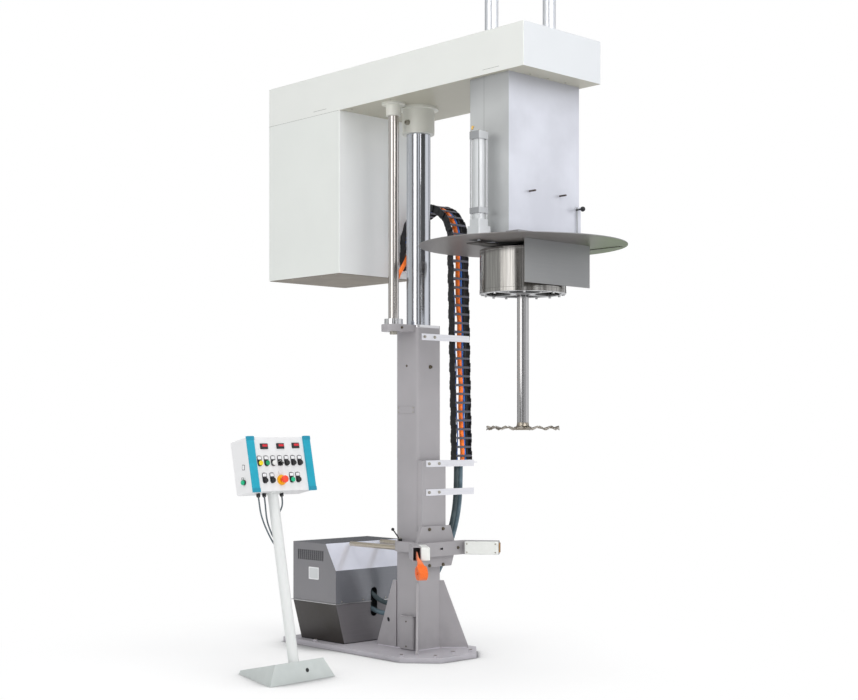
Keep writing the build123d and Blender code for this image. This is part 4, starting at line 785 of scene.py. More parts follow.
class Stock:
    """A mesh in the making, in metres."""

    def __init__(self, matrix: Optional[Matrix] = None) -> None:
        """Start empty, with the place that its own axes have."""
        self.bm = bmesh.new()
        self.matrix = matrix or Matrix.Identity(4)

    def loft(self, rings: Sequence[Sequence[Vector]]) -> None:
        """Skin rings that have the same count of points, and close both ends.

        Args:
            rings: The rings, from one end to the other.
        """
        rows = [[self.bm.verts.new(point) for point in ring] for ring in rings]
        for lower, upper in zip(rows, rows[1:]):
            for i, corner in enumerate(lower):
                j = (i + 1) % len(lower)
                self.bm.faces.new((corner, lower[j], upper[j], upper[i]))
        self.bm.faces.new(list(reversed(rows[0])))
        self.bm.faces.new(rows[-1])

    def prism(self, outline: Sequence[Point], low: float, high: float, turn: Optional[Matrix] = None) -> None:
        """Add an outline drawn in x and y, raised along z.

        Args:
            outline: The corners, anticlockwise.
            low: Where it starts.
            high: Where it ends.
            turn: A matrix applied to it.
        """
        matrix = turn or Matrix.Identity(4)
        self.loft([[matrix @ Vector((x, y, z)) for x, y in outline] for z in (low, high)])

    def block(self, low: Point, high: Point) -> None:
        """Add a block between two corners."""
        (x0, y0, z0), (x1, y1, z1) = low, high
        self.prism([(x0, y0), (x1, y0), (x1, y1), (x0, y1)], z0, z1)

    def plate(self, width: float, height: float, low: float, high: float, corner: float,
              centre: Point = (0, 0), turn: Optional[Matrix] = None) -> None:
        """Add a plate with rounded corners.

        Args:
            width: Its size along x.
            height: Its size along y.
            low: Its underside.
            high: Its face.
            corner: Its corner radius.
            centre: Its middle.
            turn: A matrix applied to it.
        """
        outline = []
        for quarter, (sx, sy) in enumerate(((1, 1), (-1, 1), (-1, -1), (1, -1))):
            for step in range(5):
                angle = math.radians(quarter * 90 + step * 22.5)
                outline.append((centre[0] + sx * (width / 2 - corner) + corner * math.cos(angle),
                                centre[1] + sy * (height / 2 - corner) + corner * math.sin(angle)))
        self.prism(outline, low, high, turn)

    def revolve(self, profile: Sequence[Point], matrix: Matrix, sides: int = 32) -> None:
        """Turn a profile of radius and height about z.

        Args:
            profile: Points of radius and height, from one end to the other; a radius of 0 is a pole.
            matrix: Where the turned form goes.
            sides: Faces round it.
        """
        rings = []
        for radius, height in profile:
            angles = [2 * math.pi * i / sides for i in range(sides if radius else 1)]
            spots = [Vector((radius * math.cos(a), radius * math.sin(a), height)) for a in angles]
            rings.append([self.bm.verts.new(matrix @ spot) for spot in spots])
        for lower, upper in zip(rings, rings[1:]):
            for i in range(sides):
                j = (i + 1) % sides
                if len(lower) == 1:
                    self.bm.faces.new((lower[0], upper[j], upper[i]))
                elif len(upper) == 1:
                    self.bm.faces.new((lower[i], lower[j], upper[0]))
                else:
                    self.bm.faces.new((lower[i], lower[j], upper[j], upper[i]))

    def tube(self, points: Sequence[Point], radius: float, sides: int = 12) -> None:
        """Add a round bar along points.

        Args:
            points: Its centre line.
            radius: Its radius.
            sides: Faces round it.
        """
        spots = [Vector(p) for p in points]
        side = Vector((1, 0, 0))
        rings = []
        for i, spot in enumerate(spots):
            ahead = (spots[min(i + 1, len(spots) - 1)] - spots[max(i - 1, 0)]).normalized()
            if abs(ahead.dot(side)) > 0.9:
                side = UP
            first = (side - ahead * side.dot(ahead)).normalized()
            second = ahead.cross(first)
            rings.append([spot + radius * (math.cos(a) * first + math.sin(a) * second)
                          for a in (2 * math.pi * k / sides for k in range(sides))])
        self.loft(rings)

    def ribbon(self, stations: Sequence[tuple[Vector, Vector, Vector, float, float]]) -> None:
        """Add a flat band through stations.

        Args:
            stations: Centre, width direction, thickness direction, width and thickness of each.
        """
        rings = []
        for centre, across, thick, width, depth in stations:
            a, t = across * (width / 2), thick * (depth / 2)
            rings.append([centre + p for p in (-a - t, a - t, a + t, -a + t)])
        self.loft(rings)

    def screws(self, head: Head, places: Sequence[Point], facing: Point, width: float) -> None:
        """Add the heads of alike screws, each on a thin washer face.

        Args:
            head: Their form.
            places: The middles of their seats.
            facing: The way they point.
            width: Their width.
        """
        sides, share = head.value
        radius, rise, washer, step = width / 2, width * share, width * 0.625, 0.001
        profile = [(washer, -0.0004), (washer, step), (radius, step), (radius, rise * 0.75),
                   (radius * 0.86, rise)]
        if head is Head.SOCKET:
            profile += [(radius * 0.5, rise), (radius * 0.5, rise * 0.55), (0, rise * 0.55)]
        else:
            profile += [(0, rise)]
        spin = Vector(facing).to_track_quat("Z", "Y").to_matrix().to_4x4()
        for place in places:
            self.revolve(profile, Matrix.Translation(Vector(place)) @ spin, sides)

    def make(self, name: str, finish: Finish, body: Optional[str], edge: float = 0.0,
             slot: Optional[str] = None) -> bpy.types.Object:
        """Turn the mesh into a piece.

        Args:
            name: The piece's name.
            finish: Its finish.
            body: The body it rides on, or None where that comes later.
            edge: Width of a bevel on its sharp edges.
            slot: The record's material slot; not used.

        Returns:
            The piece.
        """
        bmesh.ops.recalc_face_normals(self.bm, faces=self.bm.faces)
        mesh = bpy.data.meshes.new(name)
        self.bm.to_mesh(mesh)
        self.bm.free()
        for face in mesh.polygons:
            face.use_smooth = True
        mesh.set_sharp_from_angle(angle=CRISP_ANGLE)
        mesh.materials.append(Paints.get(finish))
        obj = bpy.data.objects.new(name, mesh)
        bpy.context.scene.collection.objects.link(obj)
        obj.matrix_world = self.matrix
        if edge:
            bevel = obj.modifiers.new("edge", "BEVEL")
            bevel.width, bevel.segments, bevel.limit_method = edge, 2, "ANGLE"
            bevel.angle_limit = BEVEL_ANGLE
        if body:
            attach(obj, body)
        log.info("piece %s, %d faces, on %s", name, len(mesh.polygons), body)
        return obj


@dataclass
class Cord:
    """A hose or cable that hangs free between two places of the machine."""

    name: str
    route: Sequence[Point]
    diameter: float
    length: float
    stiffness: str
    finish: Finish
    slot: str

    def build(self) -> None:
        cover = f"{self.name}_cover"
        curve = bpy.data.curves.new(cover, "CURVE")
        curve.dimensions = "3D"
        curve.bevel_depth, curve.bevel_resolution, curve.resolution_u = self.diameter / 2, 5, 14
        curve.use_fill_caps = True
        spline = curve.splines.new("NURBS")
        spline.points.add(len(self.route) - 1)
        for point, place in zip(spline.points, self.route):
            point.co = (*place, 1)
        spline.order_u = 3
        spline.use_endpoint_u = True
        curve.materials.append(Paints.get(self.finish))
        obj = bpy.data.objects.new(cover, curve)
        bpy.context.scene.collection.objects.link(obj)
        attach(obj, "root")
        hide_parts(self.name)
        log.info("cord %s, %.2f m", cover, self.length)


@dataclass
class Studio:
    """Pale floor, soft lamps, world and the camera of the photograph."""

    eye: tuple[float, float, float] = (-6.222, -6.629, 1.40)
    turn: float = -43.6
    lens: float = 61.1
    sensor: float = 36.0
    rise: float = 0.0909
    floor_half: float = 20.0
    lamps: tuple[tuple[str, Point, float], ...] = (("lamp_key", (-1.2, -7.5, 5.6), 195.0),
                                                   ("lamp_left", (-7.0, -1.0, 4.2), 125.0),
                                                   ("lamp_top", (0.5, 0.0, 7.6), 240.0))
    lamp_side: float = 5.0
    lamp_colour: Colour = (1.0, 0.99, 0.97)
    lamp_aim: Point = (0, -0.2, 1.7)
    light_way: Point = (0.62, -0.48, 0.62)
    light_tones: tuple[Colour, Colour] = ((0.50, 0.505, 0.515), (0.84, 0.85, 0.87))
    light_strength: float = 0.92
    band_way: tuple[float, float] = (0.690, -0.724)
    band_tones: tuple[Colour, Colour] = ((0.12, 0.115, 0.11), (0.88, 0.89, 0.91))
    room_tones: tuple[Colour, Colour] = ((0.62, 0.63, 0.62), (0.96, 0.965, 0.98))

    def build(self) -> None:
        """Make everything that isn't part of the machine."""
        self._camera()
        self._world()
        floor = Stock()
        floor.block((-self.floor_half, -self.floor_half, -0.02), (self.floor_half, self.floor_half, -0.0005))
        floor.make("floor", FloorPaper(), None)
        for name, place, power in self.lamps:
            self._lamp(name, place, power)

    def _camera(self) -> None:
        """Make the camera."""
        data = bpy.data.cameras.new("camera")
        data.lens, data.sensor_width, data.shift_y = self.lens, self.sensor, self.rise
        camera = bpy.data.objects.new("camera", data)
        camera.location = self.eye
        camera.rotation_euler = (math.pi / 2, 0, math.radians(self.turn))
        bpy.context.scene.collection.objects.link(camera)
        bpy.context.scene.camera = camera

    def _world(self) -> None:
        """White for the camera, a banded room in reflections, a soft gradient for light."""
        world = bpy.data.worlds.new("studio")
        bpy.context.scene.world = world
        world.use_nodes = True
        shader = Shader("studio", world.node_tree)
        way = shader.node("ShaderNodeTexCoord").outputs["Generated"]
        lean = shader.node("ShaderNodeVectorMath", {"operation": "DOT_PRODUCT"}, {0: way, 1: self.light_way})
        share = Field(shader, lean.outputs["Value"]).ramp(-0.9, 1.0)
        light = shader.blend(share, *self.light_tones)
        east, north, _ = shader.parts(way)
        turn = east * self.band_way[0] + north * self.band_way[1]
        flat = shader.blend(turn.ramp(-1.0, 0.8), *self.room_tones)
        bands = ((turn * 11.0 + 0.9).sine() * 0.6 + (turn * 26.0).sine() * 0.4).ramp(-0.45, 0.65)
        streaks = shader.blend(bands, *self.band_tones)
        room = shader.blend(abs(turn).ramp(0.80, 0.97), streaks, flat)
        path = shader.node("ShaderNodeLightPath")
        lit = (light, self.light_strength)
        soft, gloss, white = (shader.node("ShaderNodeBackground", {}, {"Color": colour, "Strength": strength})
                              for colour, strength in (lit, (room, 1.0), ((1, 1, 1), 1.0)))
        seen = shader.node("ShaderNodeMixShader", {}, {0: path.outputs["Is Glossy Ray"],
                                                       1: soft.outputs[0], 2: gloss.outputs[0]})
        shader.cover(path.outputs["Is Camera Ray"], seen.outputs[0], white.outputs[0])

    def _lamp(self, name: str, place: Point, power: float) -> None:
        """Hang one soft lamp that faces the machine.

        Args:
            name: Its name.
            place: Where it hangs.
            power: Its power in watts.
        """
        data = bpy.data.lights.new(name, "AREA")
        data.energy, data.shape, data.size, data.color = power, "SQUARE", self.lamp_side, self.lamp_colour
        lamp = bpy.data.objects.new(name, data)
        lamp.location = place
        lamp.rotation_euler = (Vector(self.lamp_aim) - Vector(place)).to_track_quat("-Z", "Y").to_euler()
        bpy.context.scene.collection.objects.link(lamp)


@dataclass
class ColumnFoot:
    """Base plate, column, cover and bushes, with their screws and welds."""

    half: float = 0.100
    plate_top: float = 0.030
    anchors: tuple[tuple[float, float], ...] = ((-0.314, -0.185), (-0.186, -0.347), (-0.001, -0.309),
                                                 (0.132, -0.327), (-0.287, 0.665))
    bead: float = 0.0060
    front_gusset: tuple[float, float] = (0.101, 0.214)
    gusset_skin: float = 0.0053
    rear_gusset: tuple[float, float] = (0.0925, 0.268)
    rear_skin: float = 0.0075
    blank_y: tuple[float, float] = (-0.070, 0.082)
    blank_z: tuple[float, float] = (1.489, 1.534)
    blank_depth: float = 0.003
    eye: Profile = ((0.0120, -0.001), (0.0120, 0.0008), (0.0102, 0.0008), (0.0095, 0.0002), (0, 0.0002))

    def build(self) -> None:
        """Dress the nodes and add the small parts."""
        dress(Paints.plate, "base_plate")
        dress(Paints.column, "column", "access_cover", "rod_bracket")
        dress(Paints.turned, "guide_bushes")
        dress(Paints.iron, "lift_cylinder")
        self._screws()
        self._welds()
        self._blank()

    def _screws(self) -> None:
        """Anchor bolts, screws on the column, and the eye in the left gusset."""
        stock = Stock()
        stock.screws(Head.HEXAGON, [(x, y, self.plate_top) for x, y in self.anchors], UP, 0.0256)
        stock.make("anchor_bolts", Paints.brown, "root", 0.0004)
        small = Stock()
        small.screws(Head.PAN, [(-self.half, 0.0, 1.785)], (-1, 0, 0), 0.012)
        small.screws(Head.SOCKET, [(0.006, -self.half, 1.778)], (0, -1, 0), 0.020)
        small.screws(Head.SOCKET, [(-0.2102, -0.075, 2.014)], (0, -1, 0), 0.013)
        small.screws(Head.PAN, [(-0.125, -0.020, z) for z in (0.205, 0.052)], (-1, 0, 0), 0.009)
        small.make("column_screws", Paints.brown, "root")
        # The eye is a dark disc: painted shade in the hole through the gusset.
        eye = Stock(Matrix.Translation((-0.1002, 0.168, 0.199)) @ around(-90, "Y"))
        eye.revolve(self.eye, Matrix.Rotation(0.5, 4, "Z") @ Matrix.Diagonal((1.25, 0.85, 1, 1)), 28)
        eye.make("gusset_eye", Paints.slot, "root")

    def _welds(self) -> None:
        """Weld beads round the column's foot and along its gussets."""
        stock = Stock()
        h, z = self.half, self.plate_top
        runs = [((-h, -h), (h, -h)), ((h, -h), (h, h)), ((-h, h), (-h, -h)), ((-h, h), (h, h))]
        near, far = self.front_gusset
        for side in (-1, 1):
            for skew in (-1, 1):
                shift = skew * self.gusset_skin
                runs.append(tuple((side * reach + shift, side * shift - reach) for reach in (near, far)))
                x = side * self.rear_gusset[0] + skew * self.rear_skin
                runs.append(((x, h + 0.002), (x, self.rear_gusset[1])))
        for start, end in runs:
            stock.tube([(*start, z), (*end, z)], self.bead, 8)
        stock.make("weld_beads", Paints.weld, "root")

    def _blank(self) -> None:
        """A blank plate with four screws on the column's left face."""
        (y0, y1), (z0, z1) = self.blank_y, self.blank_z
        face = -self.half - self.blank_depth
        stock = Stock()
        stock.block((face, y0, z0), (-self.half, y1, z1))
        stock.make("blank_plate", Paints.column, "root", 0.001)
        screws = Stock()
        spots = [(face, y, z) for y in (y0 + 0.010, y1 - 0.010) for z in (z0 + 0.009, z1 - 0.009)]
        screws.screws(Head.PAN, spots, (-1, 0, 0), 0.008)
        screws.make("blank_plate_screws", Paints.zinc, "root")


@dataclass
class LiftingHead:
    """Beam, motor box, drive, ram and guide rod."""

    underside: float = 3.395
    guide_x: float = -0.210
    guide_end: float = 1.9745
    beam_half: float = 0.3302
    box_half: float = 0.3303
    box_y: tuple[float, float] = (0.378, 1.096)
    box_floor: Slab = (0.652, 0.716, -0.0022, 0.0002, 0.010)
    box_floor_z: float = 2.373
    box_screws: tuple[float, ...] = (0.44, 0.588, 0.736, 0.884, 1.032)
    slot_y: tuple[float, float] = (0.50, -1.01)
    slot_length: float = 0.130

    def build(self) -> None:
        """Dress the nodes and add the small parts."""
        dress(Paints.beam, "beam_housing")
        dress(Paints.box, "motor_box")
        dress(Paints.iron, "drive_motor")
        dress(Paints.belt, "drive_belt")
        dress(Paints.satin, "motor_pulley")
        dress(Paints.ram, "lift_ram")
        dress(Paints.guide, "guide_rod")
        stock = Stock()
        spots = ((-0.15, -1.080), (0.0, -1.080), (0.15, -1.080), (-0.29, 0.30), (-0.29, -0.06), (0.29, 0.30))
        stock.screws(Head.PAN, [(x, y, self.underside) for x, y in spots], DOWN, 0.010)
        stock.screws(Head.SOCKET, [(-0.0985, -0.008, 3.292)], (-1, -0.06, 0), 0.030)
        stock.make("beam_screws", Paints.zinc, "head")
        nose, end = Stock(), self.guide_end
        nose.revolve([(0, end), (0.0215, end), (0.0236, end + 0.0025), (0.0236, end + 0.018)],
                     Matrix.Translation((self.guide_x, 0, 0)), 32)
        nose.make("guide_nose", Paints.zinc, "head")
        seam, slots = Stock(), Stock()
        for side in (-1, 1):
            x = side * self.box_half
            seam.block((x * 0.999, self.box_y[0], 3.3936), (x, self.box_y[1], 3.3954))
            x = side * self.beam_half
            for y in self.slot_y:
                slots.block((x * 0.998, y, 3.4210), (x, y + self.slot_length, 3.4232))
        seam.make("box_joint", Paints.joint, "head")
        floor = Stock()
        floor.plate(*self.box_floor, (0, 0.7365), Matrix.Translation((0, 0, self.box_floor_z)))
        floor.make("box_floor", Paints.box_floor, "head", 0.0006)
        screws = Stock()
        screws.screws(Head.PAN, [(x, y, 2.371) for y in self.box_screws for x in (-0.300, 0.300)], DOWN, 0.010)
        screws.make("box_floor_screws", Paints.zinc, "head")
        slots.make("beam_slots", Paints.joint, "head")


@dataclass
class Mill:
    """Mill housing, lid, basket, shaft and disc."""

    axis_y: float = -0.885
    air: tuple[float, float] = (-0.390, -0.910)
    air_side: float = 0.0762
    air_top: float = 3.060
    air_port: float = 0.026
    lid_top: float = 2.459
    pin_x: float = 0.130
    disc_z: float = 1.400
    disc_bore: float = 0.030
    disc_root: float = 0.186
    disc_tip: float = 0.2125
    disc_half: float = 0.0018
    teeth: int = 28
    tooth_dip: float = 0.0035
    tooth_rise: float = 0.0125
    top_rim: Profile = ((0.2500, 2.4150), (0.2512, 2.4162), (0.2512, 2.4288), (0.2492, 2.4302),
                        (0.2400, 2.4302))
    low_rim: Profile = ((0.2500, 2.1990), (0.2510, 2.1978), (0.2510, 2.1768), (0.2490, 2.1752))
    hub: Profile = ((0, 1.3880), (0.047, 1.3880), (0.051, 1.3905), (0.051, 1.4050), (0.048, 1.4078),
                    (0.042, 1.4085), (0.037, 1.4130), (0.0348, 1.4220), (0.0342, 1.4320))
    pin: Profile = ((0.0054, 0), (0.0054, 0.0470), (0.0046, 0.0484), (0, 0.0484))
    nipple: Profile = ((0.0050, 3.0735), (0.0064, 3.0735), (0.0064, 3.084), (0.0046, 3.086), (0.0046, 3.094),
                       (0, 3.094))

    def build(self) -> None:
        """Dress the nodes and add the small parts."""
        dress(Paints.housing, "mill_housing")
        dress(Paints.iron, "spindle_housing")
        dress(Paints.lid, "lid", "hatch")
        dress(Paints.anodised, "air_cylinder")
        dress(Paints.chrome, "mill_shaft")
        dress(Paints.carrier, "lift_frame")
        dress(Paints.drum, "mill_basket")
        dress(Paints.satin, "basket_bottom", "mill_rotor")
        dress(Paints.black, "index_knob")
        self._fittings()
        self._rings()
        self._disc()

    def _fittings(self) -> None:
        """Screws, the air cylinder's caps, rods and fitting, and the pins in the housing."""
        x, y = self.air
        corners = ((-1, -1), (-1, 1), (1, -1), (1, 1))
        stock = Stock()
        for reach, z, width in ((0.054, self.lid_top + 0.014, 0.011), (0.0305, self.air_top, 0.012)):
            stock.screws(Head.HEXAGON, [(x + sx * reach, y + sy * reach, z) for sx, sy in corners], UP, width)
        stock.make("mill_screws", Paints.zinc, "head")
        port_x, port_y = x - self.air_port, y + self.air_port
        fitting = Stock()
        fitting.revolve(self.nipple, Matrix.Translation((port_x, port_y, 0)), 6)
        fitting.tube([(port_x, port_y, 3.089), (x - 0.018, y + 0.018, 3.089)], 0.0042)
        fitting.make("air_fitting", Paints.brass, "head")
        caps = Stock(Matrix.Translation((x, y, 0)))
        for low, high in ((3.0180, 3.0604), (2.6020, 2.6330)):
            caps.plate(self.air_side, self.air_side, low, high, 0.004)
        for sx, sy in corners:
            caps.tube([(sx * 0.0325, sy * 0.0325, z) for z in (2.600, 3.030)], 0.0042)
        caps.make("air_caps", Paints.air_cap, "head")
        pins = Stock()
        for x in (-self.pin_x, self.pin_x):
            pins.revolve(self.pin, Matrix.Translation((x, -1.055, 2.740)) @ around(90, "X"), 20)
        pins.make("guide_pins", Paints.pin, "head")

    def _rings(self) -> None:
        """Turned rims of the basket."""
        place = Matrix.Translation((0, self.axis_y, 0))
        stock = Stock()
        stock.revolve(self.top_rim, place, 96)
        stock.revolve(self.low_rim, place, 96)
        stock.make("basket_rims", Paints.drum, "basket")

    def _disc(self) -> None:
        """Saw-toothed disc with its low hub, flared into the shaft."""
        place = Matrix.Translation((0, self.axis_y, 0))
        z, sheet, half = self.disc_z, self.disc_half, math.pi / self.teeth
        stock = Stock()
        stock.revolve([(self.disc_bore, z + sheet), (self.disc_root, z + sheet), (self.disc_root, z - sheet),
                       (self.disc_bore, z - sheet)], place, 2 * self.teeth)
        for count in range(self.teeth):
            start, sign = 2 * half * count, 1 if count % 2 else -1
            tooth = ((self.disc_root, start - half, 0), (self.disc_root, start + half * 0.9, 0),
                     (self.disc_tip, start + half * 0.35, sign * self.tooth_rise),
                     (self.disc_tip, start - half * 0.65, sign * self.tooth_dip))
            stock.loft([[place @ Vector((reach * math.cos(a), reach * math.sin(a), z + rise + side))
                         for reach, a, rise in tooth] for side in (-sheet, sheet)])
        obj = stock.make("disc_sheet", Paints.disc, "spindle", slot="stainless")
        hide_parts("dissolver_disc")
        hub = Stock()
        hub.revolve(self.hub, place, 48)
        hub.make("disc_hub", Paints.disc, "spindle")


@dataclass
class EnergyChain:
    """Chain of side plates and crossbars, its cables and the strips that hold it."""

    pitch: float = 0.056
    height: float = 0.050
    width: float = 0.143
    foot: float = 1.196
    foot_x: float = 0.236
    front_y: float = -0.097
    radius: float = 0.210
    fixed: int = 25
    loop: int = 12
    moving: int = 3
    step: float = 0.0014
    travel: float = 1.1
    side_plate: float = 0.0045
    inset: float = 0.0047
    overlap: float = 0.009
    corner: float = 0.010
    notch: tuple[float, float] = (0.006, 0.003)
    pin: Profile = ((0, 0), (0.0075, 0), (0.0075, 0.0012), (0, 0.0018))
    bar: tuple[float, float] = (0.0070, 0.0022)
    rib: tuple[float, float] = (0.0030, 0.0030)
    tail_radius: float = 0.0130
    # The black cable fills the chain between the others: painted shade inside the chain.
    cables: tuple[tuple[str, float, float, Finish], ...] = (
        ("orange", 0.004, 0.0145, Paints.orange), ("blue", 0.0275, 0.0080, Paints.blue),
        ("thin", -0.034, 0.0040, Paints.blue), ("black", 0.048, 0.0100, Paints.chain))
    cable_foot: float = 0.12
    drift: float = 0.012
    tail: tuple[Point, ...] = ((0.246, 0.350, 2.575), (0.228, 0.336, 2.540), (0.206, 0.322, 2.512),
                               (0.184, 0.313, 2.486), (0.166, 0.314, 2.458), (0.155, 0.324, 2.432),
                               (0.150, 0.337, 2.408), (0.152, 0.352, 2.388), (0.158, 0.370, 2.370),
                               (0.166, 0.394, 2.358), (0.174, 0.418, 2.360), (0.178, 0.432, 2.374))

    def __post_init__(self) -> None:
        """Work out the loop's place."""
        self.loop_y = self.front_y + self.height / 2 + self.radius
        self.loop_z = self.foot + self.fixed * self.pitch

    def build(self) -> None:
        """Build the chain's three runs with their cables."""
        top = self.fixed + self.loop
        for run, node, first, last in (("fixed", "chain_fixed_run", 0, self.fixed),
                                       ("loop", "chain_loop", self.fixed, top),
                                       ("moving", "chain_moving_run", top, top + self.moving)):
            links, bars = Stock(), Stock()
            for count in range(first, last):
                self._link(links, bars, count)
            pieces = [links.make(f"chain_links_{run}", Paints.chain, None, slot="chain_black"),
                      bars.make(f"chain_bars_{run}", Paints.chain_bar, None, slot="chain_black")]
            for name, offset, radius, finish in self.cables:
                cable = Stock()
                self._cable(cable, offset, radius, first - (self.cable_foot if run == "fixed" else 0), last)
                pieces.append(cable.make(f"chain_cable_{name}_{run}", finish, None))
            for piece in pieces:
                self._carry(piece, run)
            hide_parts(node)
        dress(Paints.strip, "chain_brackets")
        self._shelf(self._station(top + self.moving)[0])
        self._strips()

    def _station(self, count: float) -> tuple[Vector, Vector, Vector]:
        """Find the place of a link.

        Args:
            count: Links from the foot.

        Returns:
            The chain's centre there, its way ahead and its way out.
        """
        x = self.foot_x + self.width / 2 - self.step * count
        if count <= self.fixed:
            centre = Vector((x, self.front_y + self.height / 2, self.foot + self.pitch * count))
            return centre, UP, Vector((0, -1, 0))
        if count <= self.fixed + self.loop:
            swing = math.pi * (count - self.fixed) / self.loop
            rise, run = math.sin(swing), math.cos(swing)
            centre = Vector((x, self.loop_y - self.radius * run, self.loop_z + self.radius * rise))
            return centre, Vector((0, rise, run)), Vector((0, -run, rise))
        drop = self.pitch * (count - self.fixed - self.loop)
        return Vector((x, self.loop_y + self.radius, self.loop_z - drop)), DOWN, Vector((0, 1, 0))

    def _link(self, plates: Stock, bars: Stock, count: int) -> None:
        """Add one link: two waisted side plates, two ribbed crossbars and pins.

        Args:
            plates: The mesh that the side plates go to.
            bars: The mesh that the crossbars go to.
            count: Its number from the foot.
        """
        centre, ahead, out = self._station(count + 0.5)
        matrix = axes_at(centre, ahead, out, (1, 0, 0))
        half = self.width / 2 - (self.inset if count % 2 else 0)
        reach, rise, cut = self.pitch / 2 + self.overlap, self.height / 2, self.corner
        gap, dip = self.notch
        upper = [(-reach, rise - cut), (cut - reach, rise), (-gap, rise), (0, rise - dip), (gap, rise),
                 (reach - cut, rise), (reach, rise - cut)]
        outline = [(x, -y) for x, y in upper] + upper[::-1]
        for side in (-1, 1):
            low = side * half - (self.side_plate if side > 0 else 0)
            plates.prism(outline, low, low + self.side_plate, matrix)
            for place in (-self.pitch / 2, self.pitch / 2):
                turn = matrix @ Matrix.Translation((place, 0, side * half)) @ Matrix.Diagonal((1, 1, side, 1))
                plates.revolve(self.pin, turn, 12)
        (wide, thick), (narrow, top) = self.bar, self.rib
        for face in (-1, 1):
            y = face * (rise - 0.005)
            bars.prism([(-wide, y - thick), (wide, y - thick), (wide, y + thick), (narrow, y + top),
                        (-narrow, y + top), (-wide, y + thick)], 0.001 - half, half - 0.001, matrix)

    def _cable(self, stock: Stock, offset: float, radius: float, start: float, end: float) -> None:
        """Add one cable that sways a little between the side plates.

        Args:
            stock: The mesh that it goes to.
            offset: Its place across the chain.
            radius: Its radius.
            start: The link where it starts.
            end: The link where it ends.
        """
        steps = max(2, int((end - start) * (2 if end - start < 20 else 1)))
        points = []
        for k in range(steps + 1):
            count = start + (end - start) * k / steps
            centre, _, out = self._station(count)
            sway = 0.0016 * math.sin(count * 1.7 + offset * 90) - self.drift * min(1.0, count / self.fixed)
            lift = 0.004 * math.sin(count * 0.9 + offset * 50)
            points.append(centre + Vector((offset + sway, 0, 0)) + out * lift)
        stock.tube(points, radius)

    def _carry(self, piece: bpy.types.Object, run: str) -> None:
        """Attach one piece of a run: the loop to the chain's arc, the fixed run to the root with a mesh of its
        own; the moving run's piece has its place baked into its mesh.

        Args:
            piece: The piece.
            run: The run's name.
        """
        if run == "loop":
            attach(piece, "chain_arc")
        elif run == "moving":
            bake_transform(piece)
        else:
            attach(piece, "root")
            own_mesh(piece)

    def _shelf(self, end: Vector) -> None:
        """Shelf under the moving end, and the cable that leaves it.

        Args:
            end: The chain's centre at its moving end.
        """
        half = self.width / 2
        shelf = Stock()
        shelf.block((end.x - half, 0.319, end.z - 0.0142), (end.x + half, 0.3752, end.z - 0.0088))
        shelf.block((end.x - half, 0.3700, end.z - 0.0142), (end.x + half, 0.3752, end.z + 0.030))
        shelf.make("chain_shelf", Paints.strip, "head", 0.0008)
        tail = Stock()
        tail.tube(self.tail, self.tail_radius, 14)
        tail.make("chain_cable_tail", Paints.orange, "head")

    def _strips(self) -> None:
        """Screws on the strips that hold the fixed run."""
        screws = Stock()
        for z, y in ((1.963, -0.105), (1.180, -0.145), (1.003, -0.145)):
            screws.screws(Head.HEXAGON, [(x, y, z) for x in (-0.045, 0.040)], (0, -1, 0), 0.0172)
        screws.make("strip_screws", Paints.zinc, "root")


